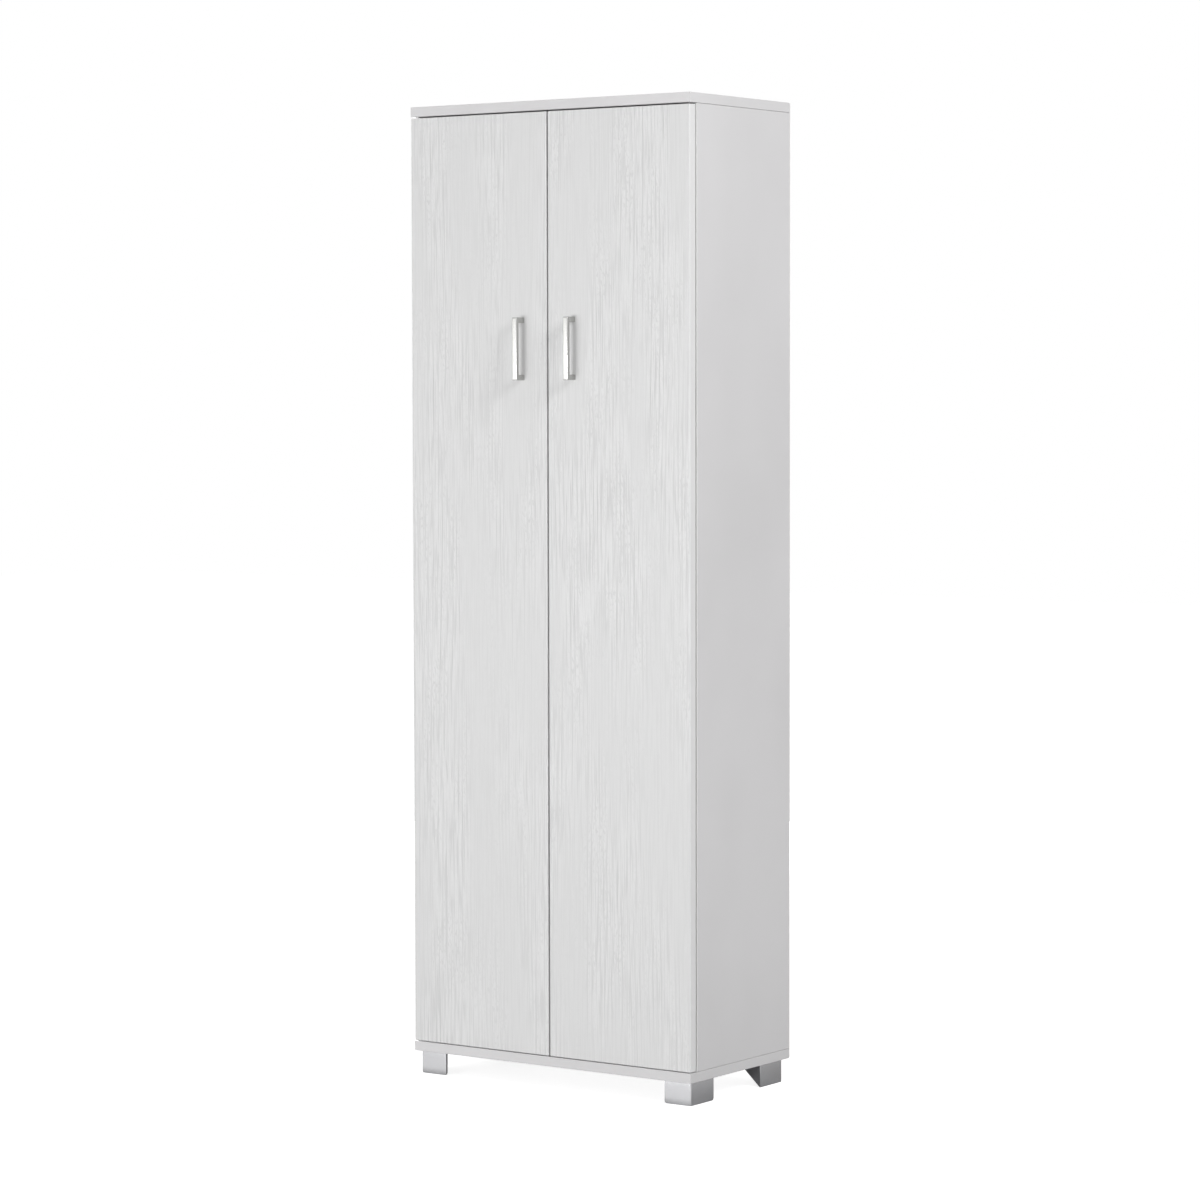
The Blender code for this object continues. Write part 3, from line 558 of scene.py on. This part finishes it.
def addPiece(name, grids, material, body, replaced=(), sharp=32, merged=1e-6):
    # joins tubes into one mesh: rows and columns give the quads, points nearer than merged
    # become one, and normals are turned outwards
    points, faces, base = [], [], 0
    for grid in grids:
        count, width = grid.shape[:2]
        index = base + np.arange(count * width).reshape(count, width)
        beside = np.roll(index, -1, 1)
        quads = np.stack([index[:-1], beside[:-1], beside[1:], index[1:]], 2)
        faces.append(quads.reshape(-1, 4))
        points.append(grid.reshape(-1, 3))
        base += count * width
    mesh = bpy.data.meshes.new(name)
    mesh.from_pydata(np.concatenate(points).tolist(), [], np.concatenate(faces).tolist())
    work = bmesh.new()
    work.from_mesh(mesh)
    bmesh.ops.remove_doubles(work, verts=work.verts, dist=merged)
    bmesh.ops.recalc_face_normals(work, faces=work.faces)
    work.to_mesh(mesh)
    work.free()
    mesh.polygons.foreach_set("use_smooth", [True] * len(mesh.polygons))
    mesh.set_sharp_from_angle(angle=math.radians(sharp))
    mesh.materials.append(material)
    piece = bpy.data.objects.new(name, mesh)
    bpy.context.scene.collection.objects.link(piece)
    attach(piece, body)
    if replaced:
        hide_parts(*replaced)
    return piece


def addSteel(name, grids, body="carcass", replaced=()):
    return addPiece(name, grids, steel, body, replaced)


handle = {"post": 0.010, "bar": 0.007, "outerBend": 0.0026, "innerBend": 0.0016, "edge": 0.0011}


def makeHandle(side):
    # the bar and its two posts are one strip that runs out from the door, down and back
    v = handle
    node = f"{side}_handle"
    low, high = corners(node)
    door, front, bottom, top = high[1], low[1], low[2], high[2]
    outer = [(door, top), (front, top), (front, bottom), (door, bottom)]
    back = front + v["bar"]
    upper, lower = top - v["post"], bottom + v["post"]
    inner = [(door, upper), (back, upper), (back, lower), (door, lower)]
    outer = roundedPath(outer, [v["outerBend"]] * 2)
    inner = roundedPath(inner, [v["innerBend"]] * 2)
    grid = ribbon(outer, inner, (high[0] - low[0]) / 2, v["edge"], (high[0] + low[0]) / 2)
    grid = grid[..., [2, 0, 1]]
    addPiece(f"{side}_bar_handle", [grid], nickel, f"{side}_door", [node])


for side, sign in sides:
    makeHandle(side)
print("made the handles")

foot = {
    "wall": 0.004, "plate": 0.0035, "cornerBend": 0.0028, "innerBend": 0.0012, "edge": 0.0011,
    "slope": 0.045, "endBend": 0.0012, "freeCorner": 0.004, "cornerSteps": 7,
    "plateInset": 0.0004,
}


def makeFoot(row, side, signX):
    # a wall runs round the two outer sides, seen from above. On a rear foot it turns inward
    # at its far end, where its lower edge climbs to the top plate in a straight line. Flat
    # points are inward from the foot's outer corner
    v = foot
    node = f"{row}_{side}_foot"
    low, high = corners(node)
    width, depth, top = high[0] - low[0], high[1] - low[1], high[2]
    roof = top - v["plate"]
    wall = v["wall"]
    arc = np.radians(np.linspace(0, 90, v["cornerSteps"]))
    freeEnd = width - v["freeCorner"] * (1 - np.cos(arc))
    cornerLift = v["freeCorner"] * (1 - np.sin(arc))
    outer = [(width, 0), (0, 0), (0, depth)]
    inner = [(width, wall), (wall, wall), (wall, depth)]
    outerBends, innerBends = [v["cornerBend"]], [v["innerBend"]]
    if row == "rear":
        outer += [(v["slope"], depth)]
        inner = inner[:2] + [(wall, depth - wall), (v["slope"], depth - wall)]
        outerBends, innerBends = [v["cornerBend"], v["endBend"]], innerBends * 2
    outer, inner = roundedPath(outer, outerBends), roundedPath(inner, innerBends)
    if row == "rear":
        farOuter, farInner = outer[-1:], inner[-1:]
        farLift = np.zeros(1)
    else:
        farEnd = freeEnd[::-1] - width + depth
        farOuter, farInner = (np.array([(u, w) for w in farEnd]) for u in (0, wall))
        farLift = cornerLift[::-1]
    outer = np.concatenate([[(u, 0) for u in freeEnd], outer[1:-1], farOuter])
    inner = np.concatenate([[(u, wall) for u in freeEnd], inner[1:-1], farInner])
    middle = (outer + inner) / 2
    sloping = (middle[:, 1] > depth - wall) & (row == "rear")
    climb = np.clip((middle[:, 0] - wall) / (v["slope"] - wall), 0, 1) * roof
    bottom = np.where(sloping, climb, 0)
    bottom[:len(freeEnd)] += cornerLift
    bottom[len(middle) - len(farLift):] += farLift
    walls = ribbon(outer, inner, (top - bottom) / 2, v["edge"], (top + bottom) / 2)
    inset = v["plateInset"]
    a, b = roundedSection(width / 2 - inset, depth / 2 - inset, v["cornerBend"])
    rim = np.stack([a[0] + width / 2, b[0] + depth / 2], 1)
    plate = [np.concatenate([rim, np.full((len(rim), 1), z)], 1) for z in (roof, top)]
    signY = -1 if row == "front" else 1
    outerX = high[0] if signX > 0 else low[0]
    outerY = low[1] if signY < 0 else high[1]
    axes = [(-signX, 0, 0), (0, -signY, 0), (0, 0, 1)]
    grids = [walls, closedEnds(np.stack(plate))]
    grids = [placed(grid, (outerX, outerY, 0), axes) for grid in grids]
    silver = makeSilverAbs(f"silverAbs_{row}_{side}", outerX, outerY)
    addPiece(f"{row}_{side}_corner_foot", grids, silver, "carcass", [node])
    return outerX, outerY, signY, roof


woodScrew = {
    "radius": 0.0038, "height": 0.0016, "dome": 0.7, "recess": 0.9, "shank": 0.0017,
    "length": 0.0028,
}
footScrews = ((0.018, 0.018), (0.048, 0.018), (0.018, 0.048))
for row in rows:
    for side, sign in sides:
        outerX, outerY, signY, roof = makeFoot(row, side, sign)
        spots = [(outerX - sign * u, outerY - signY * w, roof) for u, w in footScrews]
        down = axesAlong((0, 0, -1))
        heads = [placed(screwShape(woodScrew), spot, down) for spot in spots]
        addSteel(f"{row}_{side}_foot_screws", heads)
print("made the feet")

# Points of a hinge are (inward from its pin, back from it, up), as on the left side.
hinge = {
    "cupMiddle": 0.013, "cupRadius": 0.0175, "cupWall": 0.001, "cupFloor": -0.004,
    "flange": 0.0093, "rim": 0.0105, "lip": 0.0006,
    "cupBends": (0.0025, 0.0004, 0.0003, 0, 0, 0.0032), "bendSteps": 5, "cupColumns": 48,
    "wingMiddle": 0.019, "wingWidth": 0.014, "wingLength": 0.062, "wingScrew": 0.024,
    "wingColumns": 13, "wingEdge": 0.0004, "wingLap": 0.0003,
    "pinRadius": 0.0012, "pinLength": 0.016, "knuckle": 0.0024, "rodEdge": 0.0003,
    "neck": 0.003, "neckWidth": 0.008, "neckBend": 0.003, "hookBend": 0.0006,
    "armFace": 0.0185, "armBase": 0.0126, "armStart": 0.014, "armEnd": 0.068,
    "armWidth": 0.013, "armStep": 0.003, "armEdge": 0.0009, "widenFrom": 0.6, "widenOver": 0.5,
    "armScrew": 0.060, "adjuster": 0.038,
    "plateFace": 0.0123, "plateScrewBack": 0.04902, "plateScrewUp": 0.016,
}
cupScrew = {
    "radius": 0.0034, "height": 0.0007, "dome": 0.5, "recess": 0.9, "shank": 0.0015,
    "length": 0.0011,
}
plateScrew = {
    "radius": 0.0034, "height": 0.0009, "dome": 0.6, "recess": 0.9, "shank": 0.0017,
    "length": 0.0020,
}
armScrew = {
    "radius": 0.0030, "height": 0.0016, "dome": 0.3, "recess": 0.9, "shank": 0.0016,
    "length": 0.0030,
}


def cupShape():
    # a drawn cup: inside floor, wall, rim, lip and outside again, with round corners, turned
    # about the line that runs back through its middle
    v = hinge
    inner, outer, lip = v["cupRadius"] - v["cupWall"], v["cupRadius"], v["cupRadius"] + v["lip"]
    floor = v["cupFloor"] + v["cupWall"]
    points = [
        (0, floor), (inner, floor), (inner, v["rim"]), (lip, v["rim"]), (lip, v["flange"]),
        (outer, v["flange"]), (outer, v["cupFloor"]), (0, v["cupFloor"]),
    ]
    grid = turned(roundedPath(points, v["cupBends"], v["bendSteps"]), v["cupColumns"])
    return placed(grid, (v["cupMiddle"], 0, 0), [(1, 0, 0), (0, 0, 1), (0, 1, 0)])


def wingShape(up):
    # a flat tab from the cup's rim to a half round end: along each line across it, z goes
    # from the circle of the cup's mouth to the circle of the tab's end. In the first and the
    # last row its two faces meet halfway, which closes the ends
    v = hinge
    half, thick = v["wingWidth"] / 2, (v["rim"] - v["flange"]) / 2
    across = np.linspace(1, -1, v["wingColumns"]) * (half - v["wingEdge"])
    x = np.concatenate([across, across[::-1]])
    opened = np.array([0, 1, 1, 1, 1, 1, 0])[:, None]
    y = np.repeat([thick, -thick], v["wingColumns"]) * opened
    fromCup = x + v["wingMiddle"] - v["cupMiddle"]
    mouth = np.sqrt(np.maximum((v["cupRadius"] - v["wingLap"]) ** 2 - fromCup ** 2, 0))
    end = v["wingLength"] / 2 - half + np.sqrt(half ** 2 - x ** 2)
    share = np.array([0, 0, 0.25, 0.5, 0.75, 1, 1])[:, None]
    z = mouth + share * (end - mouth)
    return np.stack([v["wingMiddle"] + x + 0 * z, (v["rim"] + v["flange"]) / 2 + y, up * z], 2)


def armShape():
    # a hooked neck that widens into the arm: the side away from the board is straight, and
    # the side towards it steps down to the mounting plate
    v = hinge
    half = v["neck"] / 2
    face, hook, base = v["armFace"], v["armFace"] - v["neck"], v["armBase"]
    start, step, end = v["armStart"], v["armStart"] + v["armStep"], v["armEnd"]
    outer = [(0, -half), (face, -half), (face, start), (face, step), (face, end)]
    inner = [(0, half), (hook, half), (hook, start), (base, step), (base, end)]
    outer = roundedPath(outer, [v["neckBend"], 0, 0])
    inner = roundedPath(inner, [v["hookBend"], 0, 0])
    back = ((outer + inner) / 2)[:, 1]
    share = np.clip((back - start * v["widenFrom"]) / (start * v["widenOver"]), 0, 1)
    share = share * share * (3 - 2 * share)
    halfWidth = (v["neckWidth"] + share * (v["armWidth"] - v["neckWidth"])) / 2
    return ribbon(outer, inner, halfWidth, v["armEdge"])


def rod(radius, length, edge, count=24):
    # a round bar about the third axis, its ends chamfered by edge
    half = length / 2
    top = [(0, half), (radius - edge, half), (radius, half - edge)]
    return turned(top + [(r, -z) for r, z in top[::-1]], count)


def makeHinge(side, sign, level):
    v = hinge
    pinX, pinY = doorPins[side][:2]
    start, door = f"{side}_{level}_hinge", f"{side}_door"
    pin = (pinX, pinY, middleOf(f"{start}_pin")[2])
    axes = [(-sign, 0, 0), (0, 1, 0), (0, 0, 1)]
    inward, back = axesAlong((1, 0, 0)), axesAlong((0, 1, 0))
    cupSpots = [(v["wingMiddle"], v["rim"], up * v["wingScrew"]) for up in (1, -1)]
    plateSpots = [
        (v["plateFace"], v["plateScrewBack"], up * v["plateScrewUp"]) for up in (1, -1)
    ]
    armSpots = [(v["armFace"], y, 0) for y in (v["armScrew"], v["adjuster"])]
    cup = [cupShape(), wingShape(1), wingShape(-1)]
    arm = [armShape(), rod(v["knuckle"], v["neckWidth"], v["rodEdge"])]
    roundPin = [rod(v["pinRadius"], v["pinLength"], v["rodEdge"])]
    cupScrews = [placed(screwShape(cupScrew), spot, back) for spot in cupSpots]
    plateScrews = [placed(screwShape(plateScrew), spot, inward) for spot in plateSpots]
    armScrews = [placed(screwShape(armScrew), spot, inward) for spot in armSpots]
    for name, grids, body, replaced in (
        ("pressed_cup", cup, door, [f"{start}_cup"]),
        ("round_pin", roundPin, door, [f"{start}_pin"]),
        ("hooked_arm", arm, "carcass", [f"{start}_arm"]),
        ("cup_screws", cupScrews, door, []),
        ("plate_screws", plateScrews, "carcass", []),
        ("arm_screws", armScrews, "carcass", []),
    ):
        addSteel(f"{start}_{name}", [placed(grid, pin, axes) for grid in grids], body, replaced)


for side, sign in sides:
    for level in levels:
        makeHinge(side, sign, level)
print("made the hinges")

shelfPin = {
    "stub": 0.0032, "radius": 0.0025, "reach": 0.008, "depth": 0.009, "collar": 0.0003,
    "chamfer": 0.0006, "columns": 24,
}


def shelfPinShape():
    # a stub in front of the panel's face and a thinner shank in it, both chamfered
    v = shelfPin
    chamfer = v["chamfer"]
    return turned([
        (0, v["reach"]), (v["stub"] - chamfer, v["reach"]), (v["stub"], v["reach"] - chamfer),
        (v["stub"], v["collar"]), (v["radius"], v["collar"]),
        (v["radius"], chamfer - v["depth"]), (v["radius"] - chamfer, -v["depth"]),
        (0, -v["depth"]),
    ], v["columns"])


panelFace = abs(corners("right_side_panel")[0][0])
for node in [node for node in frame["nodes"] if "pin_" in node and node.startswith("shelf")]:
    middle = middleOf(node)
    sign = 1 if middle[0] > 0 else -1
    spot = (sign * panelFace, middle[1], middle[2])
    grid = placed(shelfPinShape(), spot, axesAlong((-sign, 0, 0)))
    addSteel(node.replace("pin", "round_pin"), [grid], replaced=[node])

handleScrew = {
    "radius": 0.0040, "height": 0.0018, "dome": 0.75, "recess": 0.8, "shank": 0.0019,
    "length": 0.0275, "proud": 0.0002,
}
for side, sign in sides:
    back = corners(f"{side}_door")[1][1] + handleScrew["proud"]
    for level in ("lower", "upper"):
        node = f"{side}_handle_{level}_screw"
        middle = middleOf(node)
        spot = (middle[0], back, middle[2])
        grid = placed(screwShape(handleScrew), spot, axesAlong((0, 1, 0)))
        addSteel(f"{side}_handle_{level}_pan_screw", [grid], f"{side}_door", [node])

pad = {"radius": 0.004, "edgeShare": 0.25, "rows": 9}


def makePad(side):
    # a dome: a quarter of an ellipse from the pad's edge to its middle
    v = pad
    node = f"{side}_door_bumper"
    low, high = corners(node)
    middle, height = middleOf(node), high[1] - low[1]
    bow = np.radians(np.linspace(0, 90, v["rows"]))
    dome = height * (v["edgeShare"] + (1 - v["edgeShare"]) * np.sin(bow))
    profile = [(0, 0), (v["radius"], 0), *zip(v["radius"] * np.cos(bow), dome)]
    profile[-1] = (0, height)
    spot = (middle[0], high[1], middle[2])
    grid = placed(turned(profile), spot, axesAlong((0, -1, 0)))
    addPiece(f"{side}_dome_pad", [grid], pvc, "carcass", [node])


for side, sign in sides:
    makePad(side)

# Caps cover the cam fittings that hold the panels together. Dish values are shares of the
# cap's height and radius.
camCap = {
    "radius": 0.0085, "height": 0.0008, "edge": 0.0004, "dishHeight": 0.6, "dishInner": 0.45,
    "dishOuter": 0.55, "columns": 36, "fromEnd": 0.034, "fromFront": 0.050, "fromRear": 0.050,
}


def capShape():
    # a thin disc with a round edge and a shallow dish in its middle
    v = camCap
    radius, height, edge = v["radius"], v["height"], v["edge"]
    dish = height * v["dishHeight"]
    return turned([
        (0, dish), (radius * v["dishInner"], dish), (radius * v["dishOuter"], height),
        (radius - edge, height), (radius, height - edge), (radius, 0), (0, 0),
    ], v["columns"])


def makeCaps(side, sign):
    v = camCap
    low, high = corners(f"{side}_side_panel")
    shelfLow, shelfHigh = corners("fixed_shelf")
    face = low[0] if sign > 0 else high[0]
    shelfEnd = sign * (shelfHigh[0] - v["fromEnd"])
    ys = (low[1] + v["fromFront"], high[1] - v["fromRear"])
    zs = (low[2] + v["fromEnd"], high[2] - v["fromEnd"])
    inward, down = axesAlong((-sign, 0, 0)), axesAlong((0, 0, -1))
    grids = [placed(capShape(), (face, y, z), inward) for y in ys for z in zs]
    grids += [placed(capShape(), (shelfEnd, y, shelfLow[2]), down) for y in ys]
    addPiece(f"{side}_cam_caps", grids, caps, "carcass")


for side, sign in sides:
    makeCaps(side, sign)

nail = {
    "radius": 0.0020, "height": 0.0005, "crown": 0.6, "crownDrop": 0.00005,
    "rimDrop": 0.0003, "shank": 0.0009, "length": 0.0028, "columns": 20, "fromEnd": 0.060,
    "perSide": 7, "perEnd": 3, "panel": 0.018,
}


def nailShape():
    # a flat head that falls a little towards its rim, over a plain shank
    v = nail
    return turned([
        (0, 0), (v["radius"] * v["crown"], -v["crownDrop"]), (v["radius"], -v["rimDrop"]),
        (v["radius"], -v["height"]), (v["shank"], -v["height"]), (v["shank"], -v["length"]),
        (0, -v["length"]),
    ], v["columns"])


def makeNails():
    # evenly spaced down the side panels and along the top and bottom ones
    v = nail
    back = corners("back_panel")[1][1]
    half, fromEnd = v["panel"] / 2, v["fromEnd"]
    inset = corners("right_side_panel")[1][0] - half
    topZ, bottomZ = corners("top_panel")[0][2], corners("bottom_panel")[1][2]
    heights = np.linspace(bottomZ + fromEnd, topZ - fromEnd, v["perSide"])
    across = np.linspace(-1, 1, v["perEnd"]) * (inset - half - fromEnd)
    spots = [(sign * inset, z) for side, sign in sides for z in heights]
    spots += [(x, z) for x in across for z in (topZ + half, bottomZ - half)]
    heads = [placed(nailShape(), (x, back, z), axesAlong((0, 1, 0))) for x, z in spots]
    addSteel("back_panel_nails", heads)
    return len(spots)


nailCount = makeNails()

bracketScrew = {"fromHeel": 0.016, "leg": 0.002}
high = corners("wall_bracket")[1]
spot = (0, high[1] - bracketScrew["fromHeel"], high[2] - bracketScrew["leg"])
addSteel("wall_bracket_screw", [placed(screwShape(woodScrew), spot, axesAlong((0, 0, -1)))])
print("made the fastenings:", nailCount, "nails")

# The studio: a pale floor that runs out of sight, two soft lights in front whose shadows
# meet behind the handles, a wide panel to the left that the metal mirrors, a light high up
# beside the cupboard for its right side, and a low one behind it for its back and left side.
studio = {
    "floor": "#C8C8C8", "floorSize": 30.0, "floorDrop": 0.0004, "floorRough": 0.9,
    "floorGlow": 0.85, "glowEdge": 0.05, "glowFree": 1.35, "ambient": 0.40, "rearGrey": 0.40,
    "greyFrom": -0.2, "greyTo": 0.6,
}
lamps = {
    "front": {
        "place": (-0.22, -4.3, 0.8), "aim": (0.0, 0.0, 0.9), "width": 0.7, "height": 0.8,
        "power": 32,
    },
    "frontLeft": {
        "place": (-1.07, -4.2, 0.8), "aim": (0.0, 0.0, 0.9), "width": 0.7, "height": 0.8,
        "power": 32,
    },
    "leftPanel": {
        "place": (-2.6, -3.7, 1.0), "aim": (0.0, 0.0, 0.95), "width": 1.2, "height": 1.9,
        "power": 10,
    },
    "right": {
        "place": (3.52, -1.14, 3.3), "aim": (0.3, 0.0, 1.1), "width": 1.6, "height": 1.6,
        "power": 108,
    },
    "rear": {
        "place": (-2.4, 3.6, 0.7), "aim": (0.0, 0.0, 0.9), "width": 1.4, "height": 1.4,
        "power": 70,
    },
}


def addPanelLight(name, v):
    lamp = bpy.data.lights.new(name, "AREA")
    lamp.shape = "RECTANGLE"
    lamp.size, lamp.size_y, lamp.energy = v["width"], v["height"], v["power"]
    thing = bpy.data.objects.new(name, lamp)
    bpy.context.scene.collection.objects.link(thing)
    away = np.array(v["place"]) - np.array(v["aim"])
    tilt = math.acos(away[2] / np.linalg.norm(away))
    thing.location = v["place"]
    thing.rotation_euler = (tilt, 0, math.atan2(away[1], away[0]) + math.pi / 2)


for name, lampValues in lamps.items():
    addPanelLight(name, lampValues)


def backgroundRays(add):
    # 1 for what the camera sees straight, and for that or what is mirrored or seen through
    # something clear
    rays = add("LightPath")
    bent = [rays["Is Glossy Ray"], rays["Is Transmission Ray"]]
    bent = add("Math", bent, operation="MAXIMUM")[0]
    straight = rays["Is Camera Ray"]
    return straight, add("Math", [straight, bent], operation="MAXIMUM")[0]


def makeWorld():
    # straight views see white all round; mirrored ones see white in front and grey behind
    v = studio
    world = bpy.data.worlds.new("studioWorld")
    world.use_nodes = True
    bpy.context.scene.world = world
    add = partial(addNode, world.node_tree)
    straight, seen = backgroundRays(add)
    heading = add("SeparateXYZ", [add("TexCoord")["Generated"]])
    grey = add("MapRange", [heading[1], v["greyFrom"], v["greyTo"], 1.0, v["rearGrey"]])[0]
    white = add("Math", [straight, grey], operation="MAXIMUM")[0]
    strength = add("Math", [seen, white], operation="MULTIPLY")[0]
    strength = add("Math", [strength, v["ambient"]], operation="MAXIMUM")[0]
    background = world.node_tree.nodes["Background"]
    feed(background, {"Color": (1, 1, 1, 1), "Strength": strength})


def makeFloor():
    v = studio
    half, z = v["floorSize"] / 2, -v["floorDrop"]
    mesh = bpy.data.meshes.new("floor")
    spots = [(x * half, y * half, z) for x, y in ((-1, -1), (1, -1), (1, 1), (-1, 1))]
    mesh.from_pydata(spots, [], [(0, 1, 2, 3)])
    floor = bpy.data.objects.new("floor", mesh)
    bpy.context.scene.collection.objects.link(floor)
    finish = {
        "Base Color": v["floor"], "Roughness": v["floorRough"], "Specular IOR Level": 0.0,
        "Emission Color": (1, 1, 1, 1),
    }
    material, shader, add, place = startMaterial("paleFloorPaint", finish)
    straight, seen = backgroundRays(add)
    # straight views see all of the floor's glow. From the handles' front backwards, mirrored
    # ones see none of it beneath the cupboard, and little by little more of it to the sides:
    # painted shade on the floor, for the metal to mirror
    axes = add("SeparateXYZ", [place])
    side, front, edge = float(cadBox[1][0]), float(cadBox[0][1]), v["glowEdge"]
    beside = add("Math", [axes[0]], operation="ABSOLUTE")[0]
    beside = add("MapRange", [beside, side - edge, side + v["glowFree"], 1.0, 0.0])[0]
    beside = add("Math", [beside, 1.0 - v["rearGrey"]], operation="MAXIMUM")[0]
    behind = add("MapRange", [axes[1], front, front + edge])[0]
    paintedShadeInMirrors = add("Math", [behind, beside], operation="MULTIPLY")[0]
    shown = add("Math", [1.0, paintedShadeInMirrors], operation="SUBTRACT")[0]
    shown = add("Math", [seen, shown], operation="MULTIPLY")[0]
    shown = add("Math", [straight, shown], operation="MAXIMUM")[0]
    glow = add("Math", [shown, v["floorGlow"]], operation="MULTIPLY")[0]
    feed(shader, {"Emission Strength": glow})
    mesh.materials.append(material)


makeWorld()
makeFloor()

# The camera stands as it did for the photograph, from a fit to the corners of the carcass.
view = {
    "place": (4.104, -5.773, 1.268), "yaw": 35.357, "pitch": -3.055, "roll": -0.117,
    "lens": 115.17, "sensor": 36,
}


def addCamera():
    # it looks along ahead; its own right and up are those of the level view, rolled
    yaw, pitch, roll = (math.radians(view[name]) for name in ("yaw", "pitch", "roll"))
    level = math.cos(pitch)
    ahead = np.array([-math.sin(yaw) * level, math.cos(yaw) * level, math.sin(pitch)])
    right = np.array([math.cos(yaw), math.sin(yaw), 0])
    up = np.cross(right, ahead)
    rolledRight = math.cos(roll) * right + math.sin(roll) * up
    rolledUp = math.cos(roll) * up - math.sin(roll) * right
    camera = bpy.data.cameras.new("camera")
    camera.lens, camera.sensor_width = view["lens"], view["sensor"]
    thing = bpy.data.objects.new("camera", camera)
    bpy.context.scene.collection.objects.link(thing)
    placing = np.eye(4)
    placing[:3, :3] = np.stack([rolledRight, rolledUp, -ahead], 1)
    placing[:3, 3] = view["place"]
    thing.matrix_world = Matrix(placing.tolist())
    bpy.context.scene.camera = thing


addCamera()
bpy.context.scene.view_settings.view_transform = "Standard"
print("set the light and the camera")
